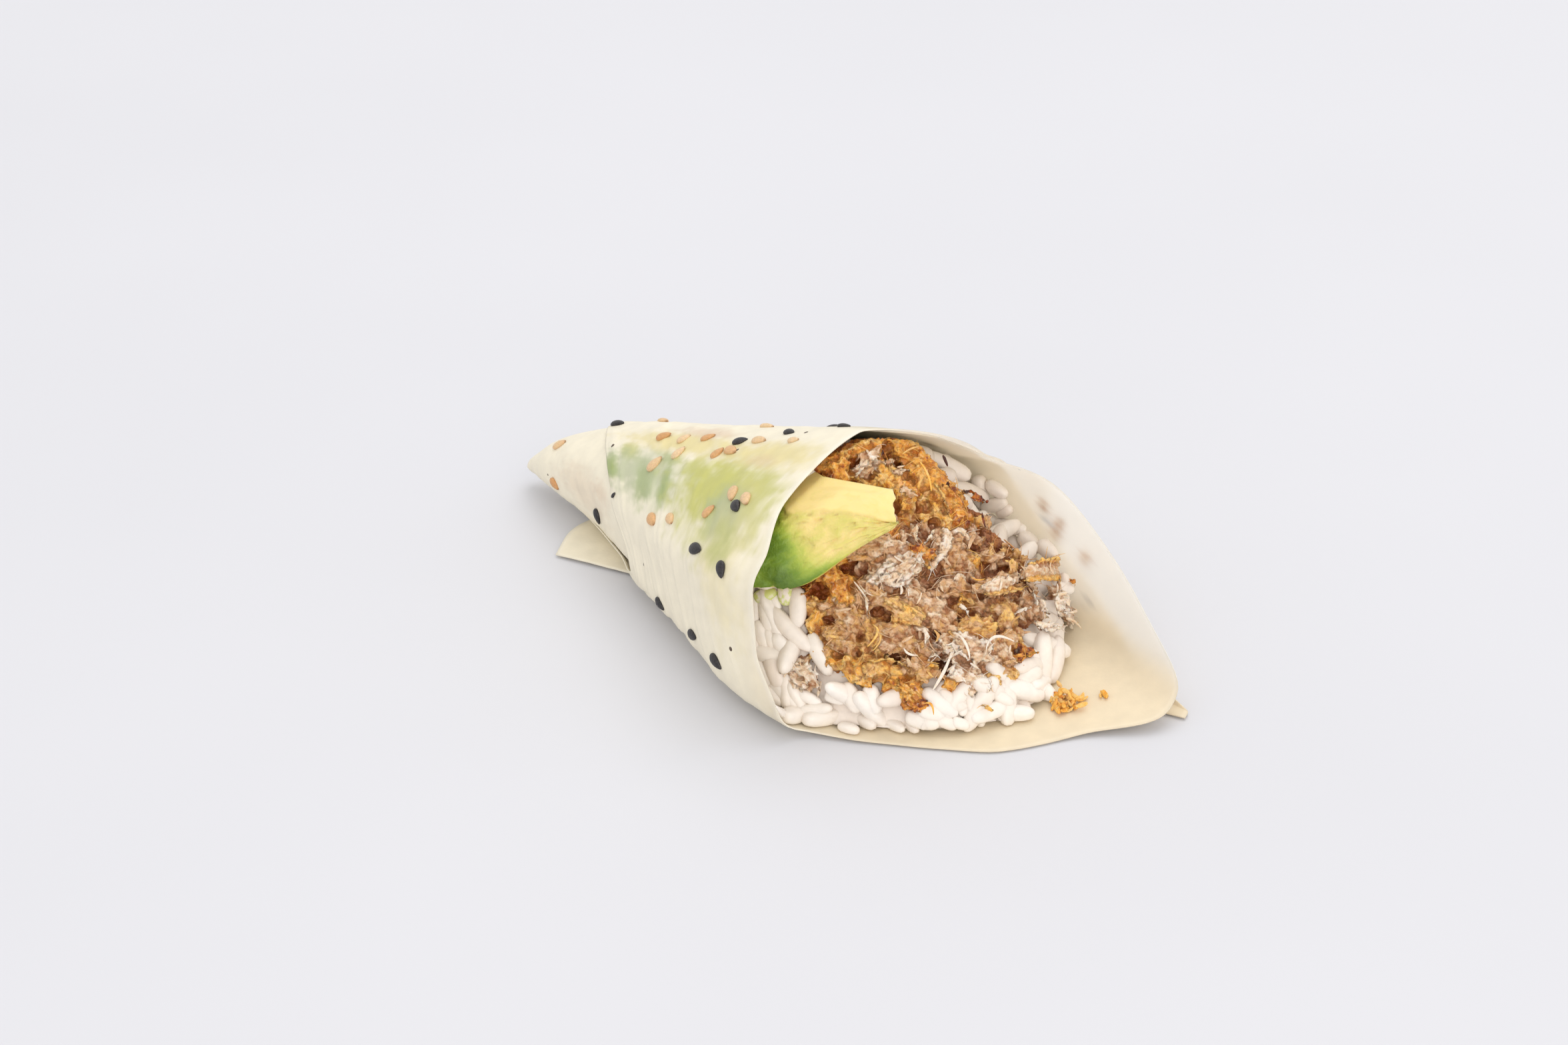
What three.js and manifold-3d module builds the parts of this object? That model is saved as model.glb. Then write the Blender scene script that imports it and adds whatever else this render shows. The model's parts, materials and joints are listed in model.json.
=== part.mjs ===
// A temaki hand roll lying on its side: a soy-paper sheet with sesame seeds is wound into
// a cone round cooked rice, flaked browned fish and one slice of avocado.
// Millimetres, +Z up. The roll is worked out with the cone's point at x = 0 and its mouth
// towards +X, then moved so that the origin is the middle of the box's underside.
import * as THREE from 'three';
import { mergeVertices } from 'three/addons/utils/BufferGeometryUtils.js';
import Module from 'manifold-3d';

const wasm = await Module();
wasm.setup();

// ---- driving dimensions --------------------------------------------------------------
const SHEET = 0.5; // thickness of the damp soy sheet
const PITCH = 0.95; // from one turn of the sheet to the next
const GAP = 0.5; // clearance between the sheet and what it holds
const TURN = 2 * Math.PI;
const STEPS_A_TURN = 36;
const STEPS_ALONG = 11;
const STEP = TURN / STEPS_A_TURN;
const FIRST_TURN = -17 * STEP; // radians of winding, 0 = top, growing over the back and bottom
const LAST_TURN = 58 * STEP;
const FLAT_FROM = 1.5 * TURN - 0.9; // where the last lap leaves the roll and lies flat
const TAIL_X = 23.4; // where the sheet's last corner peeps out under the cone
const TAIL_Y = -14;
const END_SLOPE = 0.3; // of the sheet's last edge, across the underside
const ROLL_MIDDLE_X = 64.12; // middle of the roll's box, measured from its point
const ROLL_MIDDLE_Y = -0.16;

// Sizes along the roll, as [distance from the point, size].
const FRONT_WIDTH = [[0, 1.9], [3, 4.2], [9, 6.8], [27, 11.2], [45, 17.2], [60, 22.6], [78, 27.6], [100, 29]];
const BACK_WIDTH = [
  [0, 1.9], [3, 4.2], [9, 6.8], [27, 11.2], [45, 17.2], [60, 22.6], [78, 26.8], [100, 28.3], [128, 23],
];
const HEIGHT = [
  [0, 3.6], [3, 7.4], [9, 12.4], [27, 20.8], [45, 26.6], [60, 31.2], [78, 37.2], [88, 40], [100, 41],
];
const LIFT = [[0, 1.2], [6, 0.4], [15, 0.05], [30, 0]];

// Where the sheet starts and ends along the roll, as [winding angle, distance].
const FOOT = [
  [-3, 0.6], [3.14, 0.3], [3.32, 9], [3.6, 16], [3.95, 29], [4.28, 43], [4.68, 39], [5.29, 31], [5.88, 24.5],
  [6.28, 21.5], [7.8, 20], [9.4, 18.5], [10.2, TAIL_X],
];
const RIM = [
  [-3, 40], [-2.4, 46], [-1.9, 50], [-1.2, 45], [-0.5, 42], [0, 60], [0.3, 82], [0.6, 84.5], [0.9, 83.5],
  [1.1, 85], [1.3, 88.5], [1.6, 98.8], [1.96, 113], [2.33, 126.5], [2.48, 127.3], [2.94, 120.5], [3.5, 114.2],
  [3.72, 107.1], [3.9, 98.5], [4.06, 90.5], [4.25, 89], [4.5, 84.8], [4.95, 84.2], [5.4, 80.4], [6.28, 79.6],
  [6.5, 82.5], [6.8, 85.8], [7.1, 86], [7.7, 84.5], [8.1, 94], [8.5, 114], [8.9, 127], [10.2, 128],
];

// ---- small maths ---------------------------------------------------------------------
function ramp(from, to, value) {
  const t = Math.min(1, Math.max(0, (value - from) / (to - from)));
  return t * t * (3 - 2 * t);
}

// A smooth line through the points of a table, with no overshoot between them.
function along(table, place) {
  const last = table.length - 1;
  if (place <= table[0][0]) return table[0][1];
  if (place >= table[last][0]) return table[last][1];
  const slope = (i) => (table[i + 1][1] - table[i][1]) / (table[i + 1][0] - table[i][0]);
  const tangent = (i) => {
    if (i === 0) return slope(0);
    if (i === last) return slope(last - 1);
    const before = slope(i - 1);
    const after = slope(i);
    return before * after <= 0 ? 0 : (2 * before * after) / (before + after);
  };
  let i = 0;
  while (place > table[i + 1][0]) i += 1;
  const width = table[i + 1][0] - table[i][0];
  const t = (place - table[i][0]) / width;
  const a = t * t * (3 - 2 * t);
  const b = t * (1 - t) * (1 - t) * width * tangent(i);
  const c = t * t * (t - 1) * width * tangent(i + 1);
  return table[i][1] * (1 - a) + table[i + 1][1] * a + b + c;
}

// Repeatable random numbers from 0 to 1.
function dice(seed) {
  let state = seed;
  return () => {
    state = (state * 1664525 + 1013904223) % 4294967296;
    return state / 4294967296;
  };
}

// ---- the roll's cross-section --------------------------------------------------------
// Round on top and flat below, so that it sits: a superellipse whose corners sharpen
// towards the mouth, where the rice spreads the sheet on the table.
function sectionRadius(angle, x) {
  const front = Math.sin(angle) < 0;
  const width = along(front ? FRONT_WIDTH : BACK_WIDTH, x);
  const half = along(HEIGHT, x) / 2;
  const filled = ramp(8, 50, x);
  const mouth = ramp(55, 88, x);
  const top = front ? 2 - 0.25 * filled : 2 - 0.55 * filled - 0.15 * mouth;
  const bottom = front ? 2 + 2 * filled + 3.5 * mouth : 2 + 1.3 * filled;
  const power = bottom + (top - bottom) * ramp(-0.45, 0.35, Math.cos(angle));
  const across = Math.abs(Math.sin(angle) / width) ** power;
  const upward = Math.abs(Math.cos(angle) / half) ** power;
  return (across + upward) ** (-1 / power);
}

function sectionMiddle(x) {
  return along(HEIGHT, x) / 2 + along(LIFT, x);
}

function endEdge(x) {
  return TAIL_Y + END_SLOPE * (x - TAIL_X);
}

// How far a lap lies inside the outermost one. With no lap under it, it drops to the table.
function lapDepth(turn, x) {
  const radius = sectionRadius(turn, x);
  const laps = (1.5 * TURN - Math.min(turn, 1.5 * TURN)) / TURN;
  const bare = ramp(0, 5, endEdge(x) - 1.5 - radius * Math.sin(turn));
  const sag = bare * ramp(2.6, 3.2, turn) * (1 - ramp(4.15, 4.6, turn));
  return Math.min(PITCH * laps * (1 - sag), 0.4 * radius);
}

function polar(x, angle, radius) {
  return new THREE.Vector3(x, radius * Math.sin(angle), sectionMiddle(x) + radius * Math.cos(angle));
}

// A point of the sheet, at a depth below its outer face.
function sheetPoint(turn, x, depth) {
  const point = polar(x, turn, sectionRadius(turn, x) - lapDepth(turn, x) - depth);
  if (turn > FLAT_FROM) {
    const t = (turn - FLAT_FROM) / (LAST_TURN - FLAT_FROM);
    const start = sectionRadius(FLAT_FROM, x) * Math.sin(FLAT_FROM);
    const down = ramp(0, 0.3, t);
    point.y = start + (endEdge(x) - start) * t;
    point.z = point.z * (1 - down) + depth * down;
  }
  return point;
}

// ---- solids from rows of points ------------------------------------------------------
function solidFrom(points, triangles) {
  const geometry = new THREE.BufferGeometry();
  const place = (index) => points[index];
  let volume = 0;
  triangles.forEach(([a, b, c]) => {
    volume += place(a).dot(new THREE.Vector3().crossVectors(place(b), place(c)));
  });
  const order = volume > 0 ? triangles : triangles.map(([a, b, c]) => [a, c, b]);
  geometry.setAttribute('position', new THREE.Float32BufferAttribute(points.flatMap((p) => p.toArray()), 3));
  geometry.setIndex(order.flat());
  return geometry;
}

function manifoldOf(geometry) {
  const bare = geometry.clone();
  bare.deleteAttribute('normal');
  bare.deleteAttribute('uv');
  const merged = mergeVertices(bare, 1e-4);
  const mesh = new wasm.Mesh({
    numProp: 3,
    vertProperties: new Float32Array(merged.attributes.position.array),
    triVerts: new Uint32Array(merged.index.array),
  });
  return new wasm.Manifold(mesh);
}

function geometryOf(manifold) {
  const mesh = manifold.getMesh();
  const geometry = new THREE.BufferGeometry();
  geometry.setAttribute('position', new THREE.Float32BufferAttribute(mesh.vertProperties, 3));
  geometry.setIndex(new THREE.Uint32BufferAttribute(mesh.triVerts, 1));
  return geometry;
}

// Rings of points, one after another, closed with a fan at each end.
function ringSolid(rings) {
  const count = rings[0].length;
  const points = rings.flat();
  const triangles = [];
  for (let r = 0; r + 1 < rings.length; r += 1) {
    for (let i = 0; i < count; i += 1) {
      const next = (i + 1) % count;
      const a = r * count + i;
      const b = r * count + next;
      triangles.push([a, b, b + count], [a, b + count, a + count]);
    }
  }
  [0, rings.length - 1].forEach((r) => {
    const middle = rings[r].reduce((sum, p) => sum.add(p), new THREE.Vector3()).divideScalar(count);
    const hub = points.push(middle) - 1;
    for (let i = 0; i < count; i += 1) {
      const spoke = [hub, r * count + i, r * count + ((i + 1) % count)];
      triangles.push(r === 0 ? [spoke[0], spoke[2], spoke[1]] : spoke);
    }
  });
  return solidFrom(points, triangles);
}

// ---- the sheet -----------------------------------------------------------------------
function sheetGrid() {
  const rows = [];
  const count = Math.round((LAST_TURN - FIRST_TURN) / STEP);
  for (let i = 0; i <= count; i += 1) {
    const turn = FIRST_TURN + STEP * i;
    const from = along(FOOT, turn);
    const reach = along(RIM, turn) - from;
    const row = [];
    for (let j = 0; j <= STEPS_ALONG; j += 1) {
      const share = j / STEPS_ALONG;
      row.push([turn, from + reach * (0.45 * share + 0.55 * share * share)]);
    }
    rows.push(row);
  }
  return rows;
}

function sheetSolid() {
  const grid = sheetGrid();
  const across = STEPS_ALONG + 1;
  const outer = grid.flat().map(([turn, x]) => sheetPoint(turn, x, 0));
  const inner = grid.flat().map(([turn, x]) => sheetPoint(turn, x, SHEET));
  const points = outer.concat(inner);
  const half = outer.length;
  const triangles = [];
  const at = (i, j) => i * across + j;
  for (let i = 0; i + 1 < grid.length; i += 1) {
    for (let j = 0; j < STEPS_ALONG; j += 1) {
      const [a, b, c, d] = [at(i, j), at(i + 1, j), at(i + 1, j + 1), at(i, j + 1)];
      triangles.push([a, b, c], [a, c, d]);
      triangles.push([a + half, c + half, b + half], [a + half, d + half, c + half]);
    }
  }
  const border = [];
  for (let j = 0; j < STEPS_ALONG; j += 1) border.push(at(0, j));
  for (let i = 0; i + 1 < grid.length; i += 1) border.push(at(i, STEPS_ALONG));
  for (let j = STEPS_ALONG; j > 0; j -= 1) border.push(at(grid.length - 1, j));
  for (let i = grid.length - 1; i > 0; i -= 1) border.push(at(i, 0));
  border.forEach((a, k) => {
    const b = border[(k + 1) % border.length];
    triangles.push([a, b, b + half], [a, b + half, a + half]);
  });
  return solidFrom(points, triangles);
}

// ---- the space inside ----------------------------------------------------------------
const LINING_STATIONS = [11, 16, 22, 30, 40, 50, 60, 70, 78, 85, 92, 100, 112, 126];

// The innermost lap at an angle: the first lap under the top, and its tongue near the point.
function innerTurn(angle, x) {
  const under = ramp(5.1, 5.7, angle);
  const tongue = ramp(3, 3.2, angle) * (1 - ramp(52, 58, x));
  return angle - TURN * Math.max(under, tongue);
}

function liningRadius(angle, x) {
  return sectionRadius(angle, x) - lapDepth(innerTurn(angle, x), x) - SHEET - GAP;
}

function ringAngles(count) {
  return Array.from({ length: count }, (_, i) => (TURN * i) / count);
}

function liningSolid() {
  const angles = ringAngles(STEPS_A_TURN);
  const rings = LINING_STATIONS.map((x) => angles.map((angle) => polar(x, angle, liningRadius(angle, x))));
  return manifoldOf(ringSolid(rings));
}

// How far the filling comes out at the mouth: furthest along the table, least at the top.
const MOUTH_REACH = 113.5;
function mouthReach(y, z) {
  const side = y - 3;
  const spread = side < 0 ? 0.035 : 0.03;
  const slope = 0.93 - 0.35 * ramp(5, 25, y);
  return MOUTH_REACH - spread * side * side - slope * z;
}

// A point of the filling's mouth face, at a share of the way from the middle to the sheet.
function mouthPoint(angle, share, out) {
  let x = 90;
  let point = polar(x, angle, share * liningRadius(angle, x));
  for (let i = 0; i < 14; i += 1) {
    x = 0.5 * (x + Math.min(124, mouthReach(point.y, point.z) + out));
    point = polar(x, angle, share * liningRadius(angle, x));
  }
  return point;
}

// A plug that fills part of the cone from a start to the mouth. share(angle) is how much of
// the way out to the sheet it fills; swell grows it to cut room for it in a neighbour.
const PLUG_SIDES = 24;
const PLUG_RINGS = 8;
const FACE_RINGS = 4;
function plugSolid(start, share, out, dome, swell) {
  const angles = ringAngles(PLUG_SIDES);
  const edge = angles.map((angle) => mouthPoint(angle, share(angle), out));
  const rings = [];
  for (let k = 0; k <= PLUG_RINGS; k += 1) {
    const s = k / PLUG_RINGS;
    const ease = Math.sqrt(Math.min(1, 0.12 + s * 5));
    rings.push(angles.map((angle, i) => {
      const x = start - swell + (edge[i].x + swell - start) * s;
      return polar(x, angle, share(angle) * ease * liningRadius(angle, x) + swell);
    }));
  }
  for (let k = 1; k < FACE_RINGS; k += 1) {
    const inward = 1 - k / FACE_RINGS;
    rings.push(angles.map((angle) => {
      const point = mouthPoint(angle, share(angle) * inward, out);
      point.x += swell + dome * (1 - inward * inward);
      return point;
    }));
  }
  return manifoldOf(ringSolid(rings));
}

// ---- small pieces ----------------------------------------------------------------------
// A lump with few sides: a ball of triangles, blunted, pulled to its radii, and turned.
const BLUNTNESS = 2.5; // 2 is a plain ellipsoid
function lump(ball, place, radii, turnTo, roughness, random) {
  const geometry = mergeVertices(strip(ball), 1e-4);
  const position = geometry.attributes.position;
  const corner = new THREE.Vector3();
  for (let i = 0; i < position.count; i += 1) {
    corner.fromBufferAttribute(position, i);
    const size = corner.toArray().reduce((sum, value) => sum + Math.abs(value) ** BLUNTNESS, 0);
    corner.multiplyScalar((1 + roughness * (random() - 0.5)) * size ** (-1 / BLUNTNESS));
    corner.multiply(radii).applyQuaternion(turnTo).add(place);
    position.setXYZ(i, corner.x, corner.y, corner.z);
  }
  return manifoldOf(geometry);
}

function lumpBall() {
  return new THREE.OctahedronGeometry(1, 1);
}

function strip(geometry) {
  geometry.deleteAttribute('normal');
  geometry.deleteAttribute('uv');
  return geometry;
}

// Turns a lump's long side along one direction and its flat side towards another.
function facing(lengthwise, outward) {
  const z = outward.clone().normalize();
  const x = lengthwise.clone().projectOnPlane(z).normalize();
  const y = new THREE.Vector3().crossVectors(z, x);
  return new THREE.Quaternion().setFromRotationMatrix(new THREE.Matrix4().makeBasis(x, y, z));
}

function union(solids) {
  return solids.reduce((sum, solid) => sum.add(solid));
}

// The largest piece of a solid: what a cut leaves loose is dropped.
function largest(solid) {
  return solid.decompose().reduce((best, piece) => (piece.volume() > best.volume() ? piece : best));
}

// ---- avocado ---------------------------------------------------------------------------
// One slice against the front of the cone. Its back edge B, its ridge and its lower edge C
// are given by their angles in front of the top.
const SLICE_LEAVES = 80; // where the slice comes out from under the sheet
const SLICE_BACK_EDGE = [[22, 0], [60, 10], [80, 30]];
const SLICE_LOW_EDGE = [[22, 60], [60, 68], [80, 84]];
const SLICE_THICK = [[22, 3], [30, 6], [60, 9], [80, 9]];
const SLICE_STATIONS = [22, 27, 34, 42, 50, 58, 66, 73, 80, 83, 86, 89, 92, 94.5];
const OUTER_POINTS = 7;
const INNER_POINTS = 3;

function slicePoint(x, share, inside) {
  const root = Math.min(x, SLICE_LEAVES);
  const from = along(SLICE_BACK_EDGE, root);
  const degrees = from + (along(SLICE_LOW_EDGE, root) - from) * share;
  const angle = TURN - THREE.MathUtils.degToRad(degrees);
  const cut = inside ? along(SLICE_THICK, root) * Math.sin(Math.PI * share) ** 0.6 : 0;
  const point = polar(x, angle, 0.97 * liningRadius(angle, root) - 0.4 - cut);
  const free = x - root;
  const ridge = 0.45;
  point.z = sectionMiddle(root) + (point.z - sectionMiddle(x));
  point.y += free * (0.42 + 0.35 * share);
  point.z += free * (0.12 * share - 0.02);
  if (share > ridge || inside) {
    const taper = 0.85 * ramp(85.5, 95, x);
    const top = slicePoint(x, ridge, false);
    point.y += (top.y - point.y) * taper;
    point.z += (top.z - point.z) * taper;
  }
  return point;
}

function avocadoSolid(swell) {
  const rings = SLICE_STATIONS.map((x) => {
    const ring = [];
    for (let i = 0; i < OUTER_POINTS; i += 1) ring.push(slicePoint(x, i / (OUTER_POINTS - 1), false));
    for (let i = INNER_POINTS; i > 0; i -= 1) ring.push(slicePoint(x, i / (INNER_POINTS + 1), true));
    const middle = ring.reduce((sum, p) => sum.add(p), new THREE.Vector3()).divideScalar(ring.length);
    ring.forEach((p) => p.add(p.clone().sub(middle).setLength(swell)));
    return ring;
  });
  rings[0].forEach((p) => { p.x -= swell; });
  rings[rings.length - 1].forEach((p) => { p.x += swell; });
  return manifoldOf(ringSolid(rings));
}

// ---- flaked fish -----------------------------------------------------------------------
// How much of the way out to the sheet the fish fills, as [angle, share]: it reaches the
// sheet on top, and leaves room for rice at the back, below and in front.
const FISH_SHARE = [
  [0, 0.96], [0.5, 0.94], [0.9, 0.78], [1.3, 0.6], [1.55, 0.56], [1.9, 0.72], [2.3, 0.78], [3.6, 0.77],
  [4.2, 0.73], [4.6, 0.66], [5, 0.78], [5.6, 0.94], [TURN, 0.96],
];
const FISH_FROM = 32;
const FLAKES = 32;
function fishShare(angle) {
  return along(FISH_SHARE, angle);
}

function flakes() {
  const random = dice(11);
  const solids = [];
  for (let i = 0; i < FLAKES; i += 1) {
    const angle = (i * 2.39996 + 0.3 * random()) % TURN;
    const share = 0.96 * Math.sqrt((i + 0.6) / FLAKES);
    const place = mouthPoint(angle, share * fishShare(angle), 1.2 + 1.6 * (1 - share * share));
    const long = 3.2 + 3 * random();
    const radii = new THREE.Vector3(long, 1.7 + 1.3 * random(), 1.3 + 0.9 * random());
    const outward = new THREE.Vector3(1, 0.6 * (random() - 0.5), 0.9 + 0.5 * (random() - 0.5));
    const lie = new THREE.Vector3(random() - 0.5, random() - 0.5, random() - 0.5);
    solids.push(lump(lumpBall(), place, radii, facing(lie, outward), 0.35, random));
  }
  return solids;
}

// The fish keeps to a zone that also runs out past the mouth; the rice stays outside it.
const ZONE_OUT = 8;
const ZONE_MARGIN = 0.4; // keeps the zone's wall off the fish core's own
function fishZone(swell) {
  return plugSolid(FISH_FROM, fishShare, ZONE_OUT, 0, swell + ZONE_MARGIN);
}

function fishSolid() {
  return union([plugSolid(FISH_FROM, fishShare, 0, 1.6, 0), ...flakes()]);
}

// ---- rice ------------------------------------------------------------------------------
const RICE_FROM = 13;
const RICE_SHARE = 0.98;
const GRAINS = 45;
function grains() {
  const random = dice(5);
  const solids = [];
  for (let i = 0; i < GRAINS; i += 1) {
    const angle = 0.75 + (TURN - 1.5) * ((i + 0.8 * random()) / GRAINS);
    const inner = fishShare(angle);
    const share = inner + (0.97 - inner) * ((i * 0.618) % 1);
    const place = mouthPoint(angle, share, -0.4 + 1.2 * random());
    const radii = new THREE.Vector3(2.9 + 1.1 * random(), 1.35 + 0.25 * random(), 1.2 + 0.2 * random());
    const outward = new THREE.Vector3(1, random() - 0.5, 0.6);
    const lie = new THREE.Vector3(0.3 * (random() - 0.5), random() - 0.5, random() - 0.5);
    solids.push(lump(lumpBall(), place, radii, facing(lie, outward), 0.1, random));
  }
  return solids;
}

function riceSolid() {
  return union([plugSolid(RICE_FROM, () => RICE_SHARE, -1.4, 0, 0), ...grains()]);
}

// ---- sesame ----------------------------------------------------------------------------
// Each seed's distance along the roll and its winding angle in degrees.
const BLACK_SEEDS = [
  [23, 363], [57, 345], [65, 356], [73, 370], [71, 302], [67.5, 283], [76.5, 281], [30, -104],
  [36, 286], [55, 247], [67, 249], [75, 248],
];
const TAN_SEEDS = [
  [11.5, -29], [14, -95], [43, 315], [39, 342], [44, 342], [49, 346], [46.5, 327], [55.5, 331], [57, 335],
  [61, 347], [69, 347], [68, 307], [72, 306], [65, 297], [56, 288], [51, 284],
];
const BACK_SEEDS = 7;
const SEED = new THREE.Vector3(1.4, 0.75, 0.45);

function seedSolid(x, degrees, random) {
  const turn = THREE.MathUtils.degToRad(degrees);
  const place = sheetPoint(turn, x, 0.05);
  const outward = place.clone().sub(sheetPoint(turn, x, SHEET));
  const lie = new THREE.Vector3(1, 1.6 * (random() - 0.5), 1.6 * (random() - 0.5));
  return lump(new THREE.IcosahedronGeometry(1, 0), place, SEED, facing(lie, outward), 0, random);
}

function seeds() {
  const random = dice(3);
  const solids = [...BLACK_SEEDS, ...TAN_SEEDS].map(([x, degrees]) => seedSolid(x, degrees, random));
  for (let i = 0; i < BACK_SEEDS; i += 1) {
    const x = 30 + 55 * ((i * 0.618) % 1);
    solids.push(seedSolid(x, 385 + (85 * i) / BACK_SEEDS, random));
  }
  return solids;
}

// ---- the roll --------------------------------------------------------------------------
const lining = liningSolid();
const avocado = avocadoSolid(0);
const avocadoRoom = avocadoSolid(GAP);
const fish = largest(fishSolid().intersect(fishZone(0)).intersect(lining).subtract(avocadoRoom));
const rice = largest(riceSolid().intersect(lining).subtract(avocadoRoom).subtract(fishZone(GAP)));
const wrap = union([manifoldOf(sheetSolid()), ...seeds()]);

const group = new THREE.Group();
group.position.set(-ROLL_MIDDLE_X, -ROLL_MIDDLE_Y, 0);
function addPiece(name, solid, color, roughness) {
  const mesh = new THREE.Mesh(geometryOf(solid), new THREE.MeshStandardMaterial({ color, roughness }));
  mesh.name = name;
  group.add(mesh);
}
addPiece('wrap', wrap, 0xefe6cf, 0.55);
addPiece('rice', rice, 0xf4f0e6, 0.45);
addPiece('flaked_fish', fish, 0xc99a62, 0.6);
addPiece('avocado', avocado, 0xd9dd7a, 0.5);
export default group;
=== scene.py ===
# %% [markdown]
# # A temaki hand roll
#
# A temaki is a sheet wound by hand into a cone round its filling. Here the sheet is cream
# soy paper with sesame seeds, and the filling is cooked rice, flaked and fried fish, and
# one slice of avocado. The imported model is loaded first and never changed: every piece
# below is modelled round it, in the same frame, and takes the place of one of its solids.

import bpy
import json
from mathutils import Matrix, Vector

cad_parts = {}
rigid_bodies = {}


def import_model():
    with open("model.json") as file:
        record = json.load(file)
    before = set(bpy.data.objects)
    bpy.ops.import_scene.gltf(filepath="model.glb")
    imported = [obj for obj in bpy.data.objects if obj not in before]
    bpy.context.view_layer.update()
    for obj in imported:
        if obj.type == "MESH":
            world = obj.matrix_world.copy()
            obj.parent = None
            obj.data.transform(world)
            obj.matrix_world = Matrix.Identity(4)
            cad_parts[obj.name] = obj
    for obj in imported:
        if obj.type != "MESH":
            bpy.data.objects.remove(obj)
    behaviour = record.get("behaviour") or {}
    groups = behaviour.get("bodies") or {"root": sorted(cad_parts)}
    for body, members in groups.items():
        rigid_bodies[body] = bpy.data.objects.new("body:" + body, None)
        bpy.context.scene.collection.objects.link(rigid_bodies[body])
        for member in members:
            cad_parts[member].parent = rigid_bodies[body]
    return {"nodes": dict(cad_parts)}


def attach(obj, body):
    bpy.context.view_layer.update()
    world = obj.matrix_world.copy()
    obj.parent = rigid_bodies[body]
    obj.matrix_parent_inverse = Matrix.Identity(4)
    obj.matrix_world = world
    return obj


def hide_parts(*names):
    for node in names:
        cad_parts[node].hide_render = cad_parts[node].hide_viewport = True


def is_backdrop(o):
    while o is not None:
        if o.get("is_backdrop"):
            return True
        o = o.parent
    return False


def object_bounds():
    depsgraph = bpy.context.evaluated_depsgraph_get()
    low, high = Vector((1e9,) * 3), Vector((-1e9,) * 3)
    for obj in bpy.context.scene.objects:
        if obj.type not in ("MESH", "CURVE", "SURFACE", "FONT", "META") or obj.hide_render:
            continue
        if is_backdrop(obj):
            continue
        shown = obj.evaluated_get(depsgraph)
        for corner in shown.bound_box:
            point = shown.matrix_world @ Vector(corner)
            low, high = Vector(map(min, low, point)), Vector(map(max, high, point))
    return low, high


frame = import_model()
cad_low, cad_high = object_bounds()
print("solids:", sorted(frame["nodes"]), "box in mm:", [round(s * 1000, 1) for s in cad_high - cad_low])

# %% Libraries
import json
import math

import bmesh
import bpy
import numpy as np
from mathutils import Matrix, Vector, noise
from mathutils.bvhtree import BVHTree

NOISE_SEED = 1
noise.seed_set(NOISE_SEED)  # without it, noise vectors differ from one run to the next

# %% [markdown]
# ## Working in the roll's own millimetres
#
# Food this small is easier to think about in millimetres, with the cone's point at x = 0,
# its mouth towards +x and the table at z = 0. Every mesh is shaped in those units, and one
# function turns it into the frame's metres as the last step, so that each finished object
# sits at the origin, unturned and unscaled. That keeps patterns on Object coordinates true
# to size. Everything is smooth-shaded, because nothing on food has a machined edge.

# %% From millimetres to a finished piece
MM = 0.001
METRE = 1000  # in millimetres
ROLL_MIDDLE = Vector((64.12, -0.16, 0))  # the frame's origin, in the roll's millimetres
TO_FRAME = Matrix.Scale(MM, 4) @ Matrix.Translation(-ROLL_MIDDLE)


def mesh_from(name, bm):
    """A mesh datablock from a bmesh, which is freed."""
    mesh = bpy.data.meshes.new(name)
    bm.to_mesh(mesh)
    bm.free()
    return mesh


def finish_piece(name, mesh, material, node=None):
    """Links a mesh made in millimetres as a piece of the roll, and hides the imported solid it stands for."""
    mesh.transform(TO_FRAME)
    mesh.shade_smooth()
    mesh.materials.clear()
    mesh.materials.append(material)
    piece = bpy.data.objects.new(name, mesh)
    bpy.context.scene.collection.objects.link(piece)
    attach(piece, "root")
    if node:
        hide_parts(node)
    corners = np.array([v.co[:] for v in mesh.vertices]) * METRE
    print(f"{name}: {len(mesh.polygons)} faces, y {corners[:, 1].min():.2f} to {corners[:, 1].max():.2f},"
          f" z {corners[:, 2].min():.2f} to {corners[:, 2].max():.2f}")
    return piece


# %% [markdown]
# ## Two helpers for materials
#
# Colours are easiest to judge as the hex codes of a paint program, which are sRGB, while a
# shader works with linear light. One function turns the first into the second. The other
# adds any node, with its settings and its inputs, so a material reads as a list of nodes.

# %% Colours and nodes
MIX_A, MIX_B, MIX_OUT = 6, 7, 2  # a Mix node's colour sockets, by number: its names repeat


def linear(code):
    """An sRGB hex colour as linear red, green, blue and alpha."""
    shares = [int(code[i:i + 2], 16) / 255 for i in (1, 3, 5)]
    return tuple(s / 12.92 if s <= 0.04045 else ((s + 0.055) / 1.055) ** 2.4 for s in shares) + (1.0,)


def add(tree, kind, inputs=None, stops=(), **settings):
    """Adds a node. An input is a value or another node's output; stops fill a colour ramp."""
    node = tree.nodes.new(kind)
    for key, value in settings.items():
        setattr(node, key, value)
    for key, value in (inputs or {}).items():
        if isinstance(value, bpy.types.NodeSocket):
            tree.links.new(value, node.inputs[key])
        else:
            node.inputs[key].default_value = value
    for i, (place, shade) in enumerate(stops):
        points = node.color_ramp.elements
        point = points[i] if i < 2 else points.new(place)
        point.position = place
        point.color = linear(shade) if isinstance(shade, str) else (shade, shade, shade, 1.0)
    return node


def new_material(name):
    """An empty material, with its tree, its output and the Object coordinates it reads."""
    material = bpy.data.materials.new(name)
    material.use_nodes = True
    tree = material.node_tree
    tree.nodes.clear()
    output = tree.nodes.new("ShaderNodeOutputMaterial")
    where = tree.nodes.new("ShaderNodeTexCoord").outputs["Object"]
    return material, tree, output, where


# %% [markdown]
# ## The camera
#
# A small thing on a table is taken from some distance with a long lens, so that it keeps
# its proportions. The place is in the roll's millimetres, and the turn is built from three
# angles: round the table, up from it, and the slight tilt of a camera held by hand.

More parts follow.
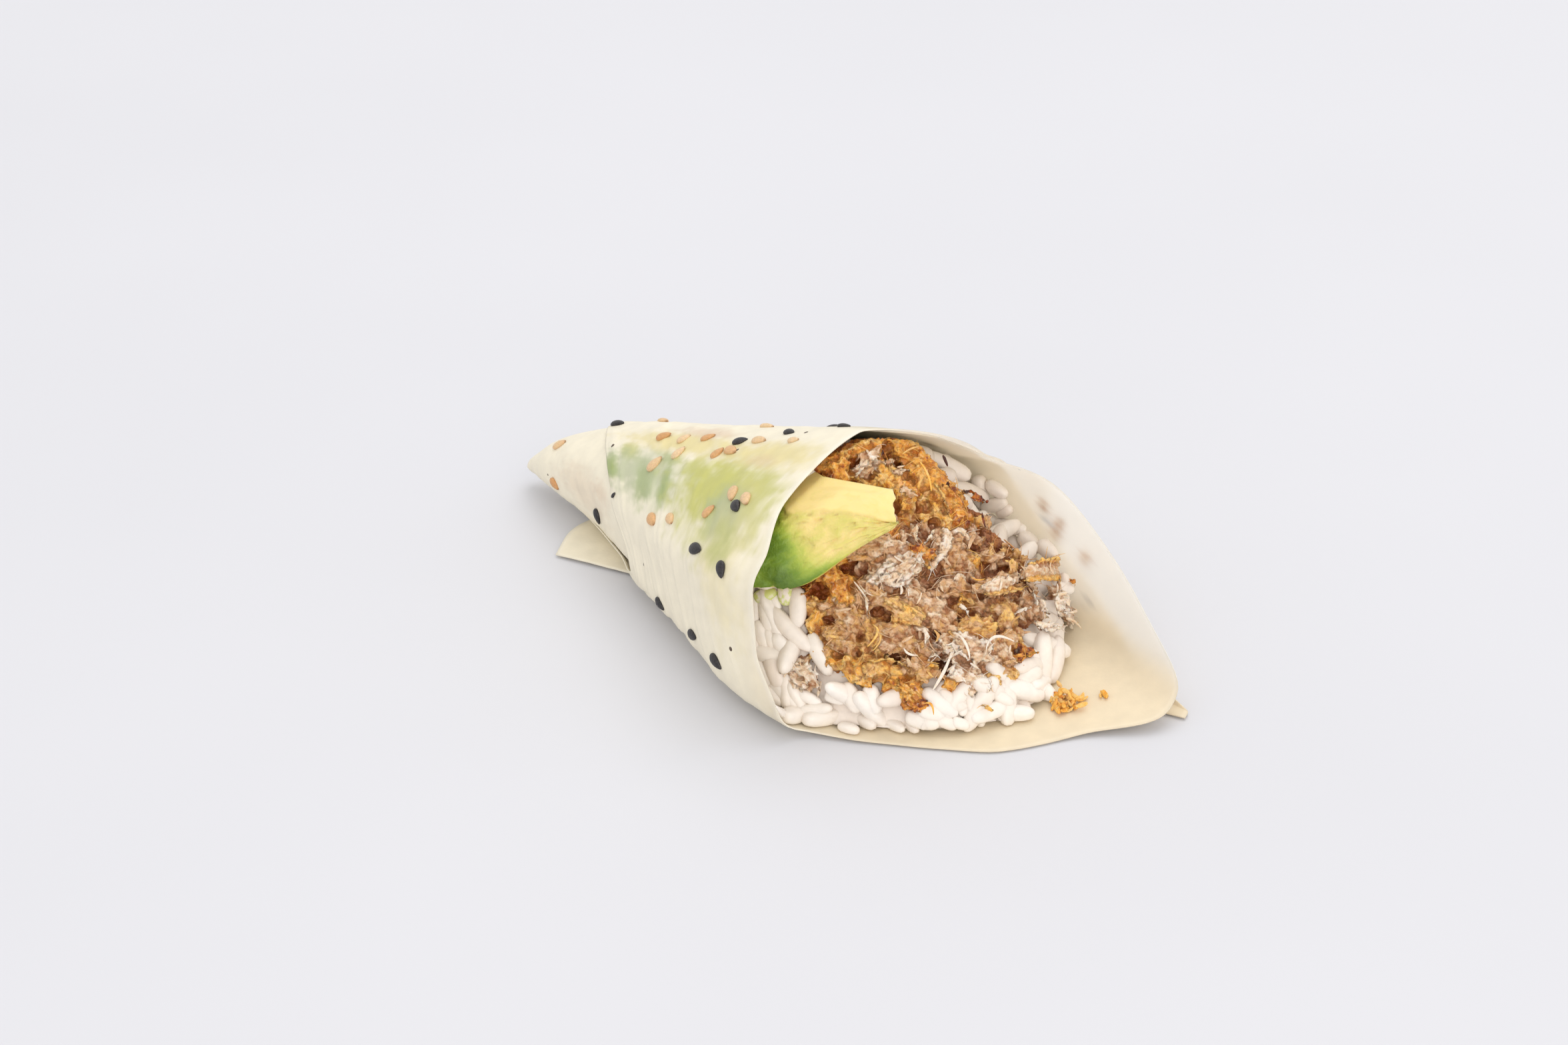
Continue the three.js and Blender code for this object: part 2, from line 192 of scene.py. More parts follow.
# %% Camera
FRAME_PIXELS = (2352, 1568)
FOCAL_PIXELS = 4981
SENSOR_MM = 36.0
CAMERA_PLACE = Vector((391.5, -300.4, 261.4))
CAMERA_AZIMUTH, CAMERA_ELEVATION, CAMERA_TILT = 47.64, 28.91, -2.41

camera_turn = (
    Matrix.Rotation(math.radians(CAMERA_AZIMUTH), 3, "Z")
    @ Matrix.Rotation(math.radians(90 - CAMERA_ELEVATION), 3, "X")
    @ Matrix.Rotation(math.radians(CAMERA_TILT), 3, "Z")
)
camera = bpy.data.objects.new("camera", bpy.data.cameras.new("camera"))
camera.data.sensor_width = SENSOR_MM
camera.data.lens = SENSOR_MM * FOCAL_PIXELS / FRAME_PIXELS[0]
camera.data.clip_start, camera.data.clip_end = 0.02, 20
camera.matrix_world = Matrix.Translation(TO_FRAME @ CAMERA_PLACE) @ camera_turn.to_4x4()
bpy.context.scene.collection.objects.link(camera)
bpy.context.scene.camera = camera
print(f"lens {camera.data.lens:.1f} mm, {(TO_FRAME @ CAMERA_PLACE).length * METRE:.0f} mm from the roll")

# %% [markdown]
# ## Light and floor
#
# Food on white is lit by one big soft box above and behind it, which makes damp surfaces
# shine and thin ones glow, and by white walls all round that fill the shadows. A pale
# world is the walls, and two area lights are the soft box and the light that bounces back
# from the front. The floor is matt, a little uneven, and larger than any view of it.

# %% Floor and lights
FLOOR_HALF = 6.0  # metres
FLOOR_DROP = 0.0002  # metres: keeps the floor off the sheet's own underside
PATCHES = 6.0  # of slightly different white, to a metre of floor
LIGHTS = (  # name, place in metres, width in metres, watts, colour
    ("soft_box", (-0.15, 0.5, 1.15), 1.0, 4.0, "#FFFDF9"),
    ("front_bounce", (1.25, -0.7, 0.5), 1.4, 9.0, "#FFFAF3"),
)

material, tree, output, where = new_material("matt white laminate")
grain = add(tree, "ShaderNodeTexNoise", {"Vector": where, "Scale": PATCHES, "Detail": 3.0})
tone = add(
    tree, "ShaderNodeValToRGB", {"Fac": grain.outputs["Fac"]}, stops=((0.3, "#D4D4D9"), (0.7, "#D7D7DC")),
)
shader = add(tree, "ShaderNodeBsdfPrincipled", {"Base Color": tone.outputs["Color"], "Roughness": 0.7})
tree.links.new(shader.outputs["BSDF"], output.inputs["Surface"])

bm = bmesh.new()
bmesh.ops.create_grid(bm, x_segments=8, y_segments=8, size=FLOOR_HALF)
bmesh.ops.translate(bm, verts=bm.verts, vec=(0, 0, -FLOOR_DROP))
floor = bpy.data.objects.new("floor", mesh_from("floor", bm))
floor.data.materials.append(material)
bpy.context.scene.collection.objects.link(floor)
floor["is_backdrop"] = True

for name, place, width, watts, shade in LIGHTS:
    lamp = bpy.data.lights.new(name, "AREA")
    lamp.size, lamp.energy, lamp.color = width, watts, linear(shade)[:3]
    light = bpy.data.objects.new(name, lamp)
    light.location = place
    light.rotation_mode = "QUATERNION"
    light.rotation_quaternion = (-Vector(place)).to_track_quat("-Z", "Y")
    bpy.context.scene.collection.objects.link(light)

world = bpy.data.worlds.new("white studio")
world.use_nodes = True
world.node_tree.nodes["Background"].inputs["Color"].default_value = linear("#FAFAFA")
world.node_tree.nodes["Background"].inputs["Strength"].default_value = 1.0
bpy.context.scene.world = world
bpy.context.scene.view_settings.view_transform = "Standard"

# %% [markdown]
# ## How a sheet becomes a cone
#
# The whole roll follows from one cross-section that grows along it: round on top, flat
# where the weight of the filling spreads it on the table. The sheet is described by how
# far it is wound, from its first edge inside the cone to its last edge under it, and by
# how far along the roll it starts and ends at each winding angle. These few tables are the
# sizes of the roll, and a smooth curve through each gives everything between. A cloth
# simulation could wind a sheet too, but it wouldn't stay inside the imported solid.

# %% The roll's sizes, in millimetres
TURN = 2 * math.pi
STEP = TURN / 36
FIRST_TURN = -17 * STEP  # radians of winding: 0 is the top, and it grows over the back
LAST_TURN = 58 * STEP
FLAT_FROM = 1.5 * TURN - 0.9  # where the last lap leaves the roll and lies on the table
PITCH = 0.95  # from one lap to the next
SAG_OVER = 5.0  # the distance over which a lap with none below it drops to the table
ROOM = 1.0  # from a lap's outer face to what it holds
CLING = 0.6  # how much nearer the innermost lap is drawn to the next at the rim, by damp
TAIL_X, TAIL_Y, END_SLOPE = 23.4, -14.0, 0.3  # the last edge, from the corner that peeps out
FRONT_WIDTH = (  # place along the roll, and from its middle line to its front
    (0, 1.9), (3, 4.2), (9, 6.8), (27, 11.2), (45, 17.2), (60, 22.6), (78, 27.6), (100, 29),
)
BACK_WIDTH = (
    (0, 1.9), (3, 4.2), (9, 6.8), (27, 11.2), (45, 17.2), (60, 22.6), (78, 26.8), (100, 28.3), (128, 23),
)
HEIGHT = (
    (0, 3.6), (3, 7.4), (9, 12.4), (27, 20.8), (45, 26.6), (60, 31.2), (78, 37.2), (88, 40), (100, 41),
)
LIFT = ((0, 1.2), (6, 0.4), (15, 0.05), (30, 0))  # of the underside off the table
FOOT = (  # radians of winding, and where along the roll the sheet starts
    (-3, 0.6), (3.14, 0.3), (3.32, 9), (3.6, 16), (3.95, 29), (4.28, 43), (4.68, 39), (5.29, 31),
    (5.88, 24.5), (6.28, 21.5), (7.8, 20), (9.4, 18.5), (10.2, TAIL_X),
)
RIM = (  # and where it ends
    (-3, 40), (-2.4, 46), (-1.9, 50), (-1.2, 45), (-0.5, 42), (0, 60), (0.3, 82), (0.6, 84.5),
    (0.9, 83.5), (1.1, 85), (1.3, 88.5), (1.6, 98.8), (1.96, 113), (2.33, 126.5), (2.48, 127.3),
    (2.94, 120.5), (3.5, 114.2), (3.72, 107.1), (3.9, 98.5), (4.06, 90.5), (4.25, 89), (4.5, 84.8),
    (4.95, 84.2), (5.4, 80.4), (6.28, 79.6), (6.5, 82.5), (6.8, 85.8), (7.1, 86), (7.7, 84.5),
    (8.1, 94), (8.5, 114), (8.9, 127), (10.2, 128),
)


# %% Reading the tables
def ramp(start, end, value):
    """0 before start, 1 after end, and a smooth step between."""
    t = min(1.0, max(0.0, (value - start) / (end - start)))  # also falls, from a start above the end
    return t * t * (3 - 2 * t)


def along(table, place):
    """A smooth line through the points of a table, with no overshoot between them."""
    last = len(table) - 1
    if place <= table[0][0]:
        return table[0][1]
    if place >= table[last][0]:
        return table[last][1]
    i = next(k for k in range(last) if place <= table[k + 1][0])

    def slope(k):
        return (table[k + 1][1] - table[k][1]) / (table[k + 1][0] - table[k][0])

    def tangent(k):
        if k in (0, last):
            return slope(0 if k == 0 else last - 1)
        before, after = slope(k - 1), slope(k)
        return 0.0 if before * after <= 0 else 2 * before * after / (before + after)

    width = table[i + 1][0] - table[i][0]
    t = (place - table[i][0]) / width
    a = t * t * (3 - 2 * t)
    bend = t * (1 - t) * ((1 - t) * tangent(i) - t * tangent(i + 1)) * width
    return table[i][1] * (1 - a) + table[i + 1][1] * a + bend


# %% The cross-section and its laps
def section_radius(angle, x):
    """From the section's middle to the sheet's outer face: a superellipse, squarer below."""
    front = math.sin(angle) < 0
    width = along(FRONT_WIDTH if front else BACK_WIDTH, x)
    half = along(HEIGHT, x) / 2
    filled = ramp(8, 50, x)
    mouth = ramp(55, 88, x)
    top = 2 - 0.25 * filled if front else 2 - 0.55 * filled - 0.15 * mouth
    bottom = 2 + 2 * filled + 3.5 * mouth if front else 2 + 1.3 * filled
    power = bottom + (top - bottom) * ramp(-0.45, 0.35, math.cos(angle))
    across = abs(math.sin(angle) / width) ** power
    upward = abs(math.cos(angle) / half) ** power
    return (across + upward) ** (-1 / power)


def section_middle(x):
    """The height of the section's middle over the table."""
    return along(HEIGHT, x) / 2 + along(LIFT, x)


def end_edge(x):
    """Where the sheet's last edge lies across the table."""
    return TAIL_Y + END_SLOPE * (x - TAIL_X)


def lap_depth(turn, x):
    """How far a lap lies inside the outermost one; with no lap below, it drops to the table."""
    radius = section_radius(turn, x)
    laps = (1.5 * TURN - min(turn, 1.5 * TURN)) / TURN
    bare = ramp(0, SAG_OVER, end_edge(x) - 1.5 - radius * math.sin(turn))
    sag = bare * ramp(2.6, 3.2, turn) * (1 - ramp(4.15, 4.6, turn))
    return min(PITCH * laps * (1 - sag), 0.4 * radius)


def cling(turn, x):
    """How much nearer the innermost lap lies to the next one, in millimetres."""
    return CLING * ramp(62, 76, x) * ramp(-0.5, 0, turn) * (1 - ramp(0.9, 1.4, turn))


def polar(x, angle, radius):
    """A point at an angle and a distance from the section's middle."""
    return Vector((x, radius * math.sin(angle), section_middle(x) + radius * math.cos(angle)))


def sheet_point(turn, x, depth):
    """A point of the sheet, at a depth below its outer face."""
    point = polar(x, turn, section_radius(turn, x) - lap_depth(turn, x) + cling(turn, x) - depth)
    if turn > FLAT_FROM:
        t = (turn - FLAT_FROM) / (LAST_TURN - FLAT_FROM)
        start = section_radius(FLAT_FROM, x) * math.sin(FLAT_FROM)
        down = ramp(0, 0.3, t)
        point.y = start + (end_edge(x) - start) * t
        point.z = point.z * (1 - down) + depth * down
    return point


print("mouth, top of the sheet:", [round(c, 1) for c in sheet_point(TURN, 79, 0)])

# %% [markdown]
# ## The soy sheet
#
# Soy paper is a soft film, a fifth of a millimetre thick, that turns limp and translucent
# on damp food. Wound tightly it gathers into fine ripples, which run round the cone in line
# with the sheet's long edge, because that edge was pulled. A flat grid is wound into place
# by moving its corners, so the ripples are real geometry and run through every lap. They
# only ever sink inwards: a film is held out by what it covers, and sags between.

# %% Ripples
RIPPLES = 15  # across the sheet's short side
RIPPLE_DEPTH = 0.7
DEEPEST_SINK = 0.54  # less than the room between two laps
CREASES = (  # share of the short side, width as a share, depth
    (0.31, 0.011, 0.30), (0.165, 0.014, 0.2), (0.075, 0.01, 0.16), (0.47, 0.012, 0.14),
)


def fog(a, b, c, octaves=3):
    """Layered noise from about -1 to 1."""
    return noise.fractal(Vector((a, b, c)), 0.8, 2.0, octaves)


def sink(turn, share):
    """How far the sheet sags between its ripples, in millimetres."""
    drift = 0.5 * noise.noise(Vector((turn * 0.9, share * 3, 8.0)))
    fine = 0.5 + 0.5 * fog(share * RIPPLES + drift, turn * 1.1, 3.7)
    broad = 0.5 + 0.5 * noise.noise(Vector((share * 5, turn * 2.2, 1.3)))
    gathered = 1 - 0.75 * ramp(0.45, 0.95, share)
    outside = 0.35 + 0.65 * ramp(3.4, 4.2, turn) * (1 - 0.5 * ramp(6.9, 8.2, turn))
    folds = 0.0
    for middle, width, depth in CREASES:
        off = (share - middle - 0.012 * noise.noise(Vector((turn * 1.3, middle * 40, 0)))) / width
        folds += depth * math.exp(-off * off) * ramp(4.2, 4.7, turn) * (1 - ramp(5.9, 6.5, turn))
    ripples = RIPPLE_DEPTH * min(1.0, max(0.0, fine)) * gathered + 0.22 * broad
    return min(DEEPEST_SINK, ripples * outside + folds)


def held(turn, x):
    """Where two laps cling to each other neither can sag: 0.1 there, and 1 elsewhere."""
    return 1 - 0.9 * (cling(turn - TURN, x) + cling(turn, x)) / CLING


def sink_at(turn, x):
    """How far the sheet sags at a place along the roll."""
    start = along(FOOT, turn)
    return sink(turn, (x - start) / (along(RIM, turn) - start)) * held(turn, x)


# %% [markdown]
# ## What shows through
#
# Where the damp film touches the avocado it shows green, over the fish a dusty pink, and
# over rice it stays cream. Light does this in a real film. Here each corner of the grid
# gets the colour of what lies behind it, as soft blots with broken edges, because a truly
# see-through sheet five laps deep would lose its colour once it leaves this scene.

# %% Blots
FILM, FILM_EDGE, FILM_DAMP = linear("#FAF1DA"), linear("#FFFAEE"), linear("#EDD9B6")
# painted show-through: colours of the filling, and of seeds behind the back wall, painted on the film for the
# light that comes through it
SEEN_THROUGH_TINTS = {
    "green": "#9DB04B", "lime": "#CDCB76", "sage": "#B4BE94", "yellow": "#EBDC9F", "pink": "#DDBFA2",
    "tan": "#C79B66", "ink": "#5F574D",
}
# the stain column of a blot names the colour that shows through there, painted as show-through light
BLOTS = (  # x, winding degrees, half length in mm, half width in degrees, stain, strength
    (32, 305, 2.6, 12, "green", 0.95),
    (34, 323, 3.0, 9, "lime", 0.8),
    (43, 302, 3.2, 15, "green", 0.8),
    (49, 303, 1.6, 13, "green", 1.0),
    (45, 322, 3.0, 7, "green", 0.6),
    (53, 319, 3.4, 5, "lime", 0.8),
    (58, 312, 5.0, 6, "sage", 0.6),
    (42, 308, 15.0, 20, "sage", 0.7),
    (64, 308, 14.0, 26, "lime", 1.0),
    (70, 298, 6.0, 14, "sage", 1.0),
    (73, 288, 3.0, 9, "green", 0.6),
    (73, 314, 5.0, 8, "lime", 0.7),
    (76, 300, 3.5, 12, "lime", 0.45),
    (45, 338, 16.0, 12, "yellow", 0.9),
    (68, 335, 12.0, 12, "yellow", 0.9),
    (74, 285, 6.0, 30, "yellow", 0.4),
    (48, 352, 7.0, 7, "pink", 0.55),
    (67, 329, 4.0, 5, "pink", 0.35),
    (24, -85, 8.0, 28, "pink", 0.3),
    (31, -80, 3.0, 10, "pink", 0.35),
    (91.5, 94, 1.0, 2.0, "tan", 0.85),  # seeds on the far side, seen through the back wall
    (94.8, 98, 1.0, 2.0, "tan", 0.85),
    (93.9, 102, 0.9, 1.8, "tan", 0.85),
    (100.3, 106, 1.2, 2.2, "tan", 0.85),
    (108.4, 152, 1.0, 2.0, "tan", 0.85),
    (92.4, 99, 1.0, 1.8, "ink", 0.85),
    (103, 119, 1.0, 2.0, "ink", 0.85),
)


def film_colour(turn, x):
    """The film's colour at a place: cream, with the painted show-through blots that lie there."""
    colour = np.array(FILM[:3])
    degrees = math.degrees(turn)
    ragged = 0.35 * fog(x * 0.35, turn * 9, 2.0) + 0.12 * fog(x * 1.3, turn * 22, 5.0)
    for middle, angle, long, wide, seen_tint, strength in BLOTS:
        lean = (degrees - angle) / wide
        off = math.hypot((x - middle + 0.16 * (degrees - angle)) / long, lean)
        if off < 2:
            share = strength * (1 - ramp(0.35, 1.35, off + ragged))
            colour = colour * (1 - share) + np.array(linear(SEEN_THROUGH_TINTS[seen_tint])[:3]) * share
    edge = 0.5 * ramp(1.4, 0.2, along(RIM, turn) - x)
    return (*(colour * (1 - edge) + np.array(FILM_EDGE[:3]) * edge), 1.0)


def bareness(point, turn):
    """1 where the film stands free of filling and table, with light behind it."""
    angle = turn % TURN
    upper = 0.8 * ramp(64, 86, point.x) * (1 - ramp(1.8, 3.0, angle)) * ramp(0, 0.3, angle)
    wall = ramp(79, 96, point.x)
    return max(upper, wall) * ramp(1.5, 7, point.z)


# %% Wind the sheet
FILM_THICK = 0.22
CELLS_ROUND, CELLS_LONG = 340, 136

bm = bmesh.new()
behind = bm.verts.layers.float_color.new("behind")
bare = bm.verts.layers.float.new("bare")
bmesh.ops.create_grid(bm, x_segments=CELLS_ROUND, y_segments=CELLS_LONG, size=0.5)
for corner in bm.verts:
    turn = FIRST_TURN + (corner.co.x + 0.5) * (LAST_TURN - FIRST_TURN)
    share = corner.co.y + 0.5
    start = along(FOOT, turn)
    x = start + (along(RIM, turn) - start) * share
    corner.co = sheet_point(turn, x, sink(turn, share) * held(turn, x))
    lying = 0.7 * ramp(84, 98, x) * (1 - ramp(1.5, 8, corner.co.z))
    corner[behind] = Vector(film_colour(turn, x)).lerp(Vector(FILM_DAMP), lying)
    corner[bare] = bareness(corner.co, turn)
bm.normal_update()
top_face = max(bm.faces, key=lambda face: face.calc_center_median().z)
if top_face.normal.z < 0:
    bmesh.ops.reverse_faces(bm, faces=bm.faces)
sheet_tree = BVHTree.FromBMesh(bm)
sheet_mesh = mesh_from("soy_sheet", bm)
print("sheet:", len(sheet_mesh.vertices), "corners")

# %% [markdown]
# ## The film's finish
#
# Soy paper is cast and dried, so its surface is even and matt, with a fine grain that only
# shows where light grazes it, and a few dark specks of bran. Damp patches are a little
# glossier. A share of translucent shader lets the back wall glow as light comes through.

# %% Soy paper
GRAIN_MM, SPECK_MM, MOTTLE_MM = 0.45, 5.0, 2.5  # a speck's is the cell that it may lie in
LARGEST_SPECK, NO_SPECK = 0.075, 0.55  # its radius as a share of the cell, and the share of empty cells

soy_paper, tree, output, where = new_material("damp soy paper")
tint = add(tree, "ShaderNodeVertexColor", layer_name="behind")
mottle = add(tree, "ShaderNodeTexNoise", {"Vector": where, "Scale": METRE / MOTTLE_MM, "Detail": 4.0})
cloud = add(tree, "ShaderNodeValToRGB", {"Fac": mottle.outputs["Fac"]}, stops=((0.3, 0.93), (0.7, 1.0)))
clouded = add(
    tree, "ShaderNodeMix", {0: 1.0, MIX_A: tint.outputs["Color"], MIX_B: cloud.outputs["Color"]},
    data_type="RGBA", blend_type="MULTIPLY",
)
flecks = add(tree, "ShaderNodeTexVoronoi", {"Vector": where, "Scale": METRE / SPECK_MM})
chance = add(tree, "ShaderNodeSeparateColor", {"Color": flecks.outputs["Color"]})
size = add(tree, "ShaderNodeMath", {0: chance.outputs["Red"], 1: LARGEST_SPECK}, operation="MULTIPLY")
inside = add(
    tree, "ShaderNodeMath", {0: flecks.outputs["Distance"], 1: size.outputs["Value"]}, operation="LESS_THAN",
)
chosen = add(tree, "ShaderNodeMath", {0: chance.outputs["Green"], 1: NO_SPECK}, operation="GREATER_THAN")
speck = add(
    tree, "ShaderNodeMath", {0: inside.outputs["Value"], 1: chosen.outputs["Value"]}, operation="MULTIPLY",
)
specked = add(
    tree, "ShaderNodeMix",
    {0: speck.outputs["Value"], MIX_A: clouded.outputs[MIX_OUT], MIX_B: linear("#5B4A3C")},
    data_type="RGBA",
)
grain = add(tree, "ShaderNodeTexNoise", {"Vector": where, "Scale": METRE / GRAIN_MM, "Detail": 2.0})
relief = add(
    tree, "ShaderNodeBump", {"Height": grain.outputs["Fac"], "Strength": 0.25, "Distance": 0.08 * MM},
)
damp = add(tree, "ShaderNodeMapRange", {"Value": mottle.outputs["Fac"], "To Min": 0.42, "To Max": 0.6})
body = add(
    tree, "ShaderNodeBsdfPrincipled",
    {"Base Color": specked.outputs[MIX_OUT], "Roughness": damp.outputs["Result"], "IOR": 1.45,
     "Normal": relief.outputs["Normal"]},
)
paler = add(
    tree, "ShaderNodeMix", {0: 0.9, MIX_A: specked.outputs[MIX_OUT], MIX_B: linear("#FFFDFA")},
    data_type="RGBA",
)
glow = add(
    tree, "ShaderNodeBsdfTranslucent", {"Color": paler.outputs[MIX_OUT], "Normal": relief.outputs["Normal"]},
)
free = add(tree, "ShaderNodeAttribute", attribute_name="bare")
share = add(tree, "ShaderNodeMapRange", {"Value": free.outputs["Fac"], "To Min": 0.1, "To Max": 0.88})
film = add(
    tree, "ShaderNodeMixShader",
    {0: share.outputs["Result"], 1: body.outputs["BSDF"], 2: glow.outputs["BSDF"]},
)
tree.links.new(film.outputs["Shader"], output.inputs["Surface"])

# %% The sheet as a piece
soy_sheet = finish_piece("soy_sheet", sheet_mesh, soy_paper, "wrap")
wall = soy_sheet.modifiers.new("film", "SOLIDIFY")
wall.thickness = FILM_THICK * MM
wall.offset = -1

# %% [markdown]
# ## Many small things from one template
#
# Seeds, grains and flakes are each one small shape with few faces, made once with a bmesh
# operator. Every copy is that template's corners pushed through a function, which bends and
# stretches it so that no two are alike, and all copies become one mesh. Instances would be
# lighter, but they don't survive an export.

# %% Templates and copies
def template_from(bm):
    """A small bmesh's corners as an array, and its faces, ready for copying."""
    corners = np.array([v.co[:] for v in bm.verts])
    faces = [[v.index for v in face.verts] for face in bm.faces]
    bm.free()
    return corners, faces


def ball(subdivisions):
    """A round template of radius 1, made of triangles."""
    bm = bmesh.new()
    bmesh.ops.create_icosphere(bm, subdivisions=subdivisions, radius=1.0)
    return template_from(bm)


def joined(name, template, copies, marks=()):
    """One mesh from placed copies of a template. A mark is a name and one number a copy."""
    corners, faces = template
    count = len(corners)
    every = [[count * k + i for i in face] for k in range(len(copies)) for face in faces]
    mesh = bpy.data.meshes.new(name)
    mesh.from_pydata(np.concatenate(copies).tolist(), [], every)
    for mark, values in marks:
        layer = mesh.attributes.new(mark, "FLOAT", "POINT")
        layer.data.foreach_set("value", np.repeat(values, count).astype(np.float32))
    return mesh


def turned(lengthwise, outward):
    """A rotation whose x runs lengthwise and whose z faces outward, as rows of an array."""
    z = outward.normalized()
    x = (lengthwise - z * lengthwise.dot(z)).normalized()
    return np.array([x[:], z.cross(x)[:], z[:]])


# %% [markdown]
# ## Sesame seeds
#
# A sesame seed is a flat drop, three millimetres long, with a blunt end and a pointed one.
# The tan seeds are hulled and smooth, with a darker tip; the black ones keep their hull,
# which is dull and finely wrinkled. They stick to the film, sunk by half their thickness,
# and each seed lies the way it was pressed on.

# %% Where the seeds lie
SEED = ball(3)
SEED_RADII = np.array((1.45, 0.85, 0.5))  # mm along, across and through a seed
SEED_BEDDING = 0.15  # mm from the film up to a seed's middle
WIDEST, LOWEST = 27.55, 0.05  # mm from the middle line and above the table: all is pressed within
BLACK_SEEDS = (  # x, winding degrees, heading from the roll's length in degrees, size
    (23, 363, 5, 1.0), (57, 345, 30, 0.95), (65, 357, -5, 0.85), (73, 370, 10, 0.8), (71, 302, -28, 1.0),
    (67.5, 283, 5, 1.12), (76.5, 281, -50, 1.0), (29, -106, -75, 0.95), (36.5, 286, 60, 0.4),
    (55, 247, -22, 0.95), (67, 249, 10, 1.0), (75, 248, -27, 1.1),
)
TAN_SEEDS = (
    (11.5, -29, 28, 1.0), (14, -97, -34, 0.9), (43, 315, 74, 1.1), (39, 342, 37, 0.95),
    (44, 342, 60, 0.9), (49, 346, 45, 0.85), (46.5, 327, 82, 0.95), (55.5, 331, 78, 0.9),
    (57.6, 335, -12, 1.05), (61, 347, 4, 1.0), (69, 347, 15, 0.75), (68, 307, -50, 1.1),
    (72, 306, -36, 1.05), (65, 297, 60, 0.95), (56, 288, -22, 0.9), (51, 284, -16, 1.1),
    (56, 372, 8, 0.9),
)
BACK_SEEDS = 7
BACK_FROM, BACK_TO = (30, 385), (85, 470)  # x and winding degrees between which they lie
GOLDEN_SHARE = 0.618  # steps of this share of a range never bunch up
WALL_SEEDS = ((91.5, 454), (94.8, 458), (93.9, 462), (100.3, 466), (108.4, 512))  # x, winding degrees


def seed_copies(places, rng):
    """The seed template pressed onto the sheet at each place."""
    corners, _ = SEED
    taper = 1 - 0.32 * corners[:, 0:1] - 0.1 * corners[:, 0:1] ** 2
    copies = []
    for x, degrees, heading, size in places:
        turn = math.radians(degrees)
        spot = sheet_point(turn, x, sink_at(turn, x) - SEED_BEDDING)
        lengthwise = sheet_point(turn, x + 0.5, 0) - sheet_point(turn, x - 0.5, 0)
        round_way = sheet_point(turn + 0.02, x, 0) - sheet_point(turn - 0.02, x, 0)
        outward = round_way.cross(lengthwise)
        lie = lengthwise.normalized() * math.cos(math.radians(heading))
        lie += round_way.normalized() * math.sin(math.radians(heading))
        plump = 1 + 0.12 * (rng.random(3) - 0.5)
        shape = corners.copy()
        shape[:, 1:] *= taper
        shape = (shape * SEED_RADII * size * plump) @ turned(lie, outward) + np.array(spot)
        shape[:, 1] = np.clip(shape[:, 1], -WIDEST, WIDEST)
        shape[:, 2] = np.maximum(shape[:, 2], LOWEST)
        copies.append(shape)
    return copies


# %% Seed meshes
rng = np.random.default_rng(4)
tan_places = list(TAN_SEEDS)
black_places = list(BLACK_SEEDS)
for i in range(BACK_SEEDS):
    x = BACK_FROM[0] + (BACK_TO[0] - BACK_FROM[0]) * ((i * GOLDEN_SHARE) % 1)
    degrees = BACK_FROM[1] + (BACK_TO[1] - BACK_FROM[1]) * i / BACK_SEEDS
    (black_places if i % 3 == 1 else tan_places).append((x, degrees, 360 * rng.random(), 1.0))
for x, degrees in WALL_SEEDS:
    tan_places.append((x, degrees, 360 * rng.random(), 0.9))
black_mesh = joined("black_sesame", SEED, seed_copies(black_places, rng))
tan_mesh = joined(
    "tan_sesame", SEED, seed_copies(tan_places, rng), [("tone", rng.random(len(tan_places)))],
)
tip = tan_mesh.attributes.new("tip", "FLOAT", "POINT")
tip.data.foreach_set("value", np.tile(SEED[0][:, 0], len(tan_places)).astype(np.float32))
print(len(black_places), "black seeds and", len(tan_places), "tan ones")

# %% Seed hulls
HULL_WRINKLE_MM = 0.3

black_hull, tree, output, where = new_material("black sesame hull")
wrinkle = add(tree, "ShaderNodeTexNoise", {"Vector": where, "Scale": METRE / HULL_WRINKLE_MM, "Detail": 3.0})
dusk = add(
    tree, "ShaderNodeValToRGB", {"Fac": wrinkle.outputs["Fac"]}, stops=((0.35, "#1B191C"), (0.75, "#3A3433")),
)
relief = add(
    tree, "ShaderNodeBump", {"Height": wrinkle.outputs["Fac"], "Strength": 0.5, "Distance": 0.08 * MM},
)
shader = add(
    tree, "ShaderNodeBsdfPrincipled",
    {"Base Color": dusk.outputs["Color"], "Roughness": 0.42, "Normal": relief.outputs["Normal"]},
)
tree.links.new(shader.outputs["BSDF"], output.inputs["Surface"])

tan_hull, tree, output, where = new_material("hulled sesame")
own = add(tree, "ShaderNodeAttribute", attribute_name="tone")
base = add(
    tree, "ShaderNodeValToRGB", {"Fac": own.outputs["Fac"]},
    stops=((0.0, "#D39B62"), (0.5, "#DDB07C"), (1.0, "#E9CBA0")),
)
point = add(tree, "ShaderNodeAttribute", attribute_name="tip")
dark = add(
    tree, "ShaderNodeMapRange",
    {"Value": point.outputs["Fac"], "From Min": 0.75, "From Max": 1.0, "To Max": 0.7},
)
tipped = add(
    tree, "ShaderNodeMix",
    {0: dark.outputs["Result"], MIX_A: base.outputs["Color"], MIX_B: linear("#8C5630")},
    data_type="RGBA",
)
wrinkle = add(tree, "ShaderNodeTexNoise", {"Vector": where, "Scale": METRE / HULL_WRINKLE_MM, "Detail": 2.0})
mottled = add(tree, "ShaderNodeValToRGB", {"Fac": wrinkle.outputs["Fac"]}, stops=((0.3, 0.82), (0.7, 1.0)))
final = add(
    tree, "ShaderNodeMix", {0: 1.0, MIX_A: tipped.outputs[MIX_OUT], MIX_B: mottled.outputs["Color"]},
    data_type="RGBA", blend_type="MULTIPLY",
)
relief = add(
    tree, "ShaderNodeBump", {"Height": wrinkle.outputs["Fac"], "Strength": 0.3, "Distance": 0.06 * MM},
)
shader = add(
    tree, "ShaderNodeBsdfPrincipled",
    {"Base Color": final.outputs[MIX_OUT], "Roughness": 0.38, "Subsurface Weight": 0.1,
     "Subsurface Scale": 0.5 * MM, "Normal": relief.outputs["Normal"]},
)
tree.links.new(shader.outputs["BSDF"], output.inputs["Surface"])

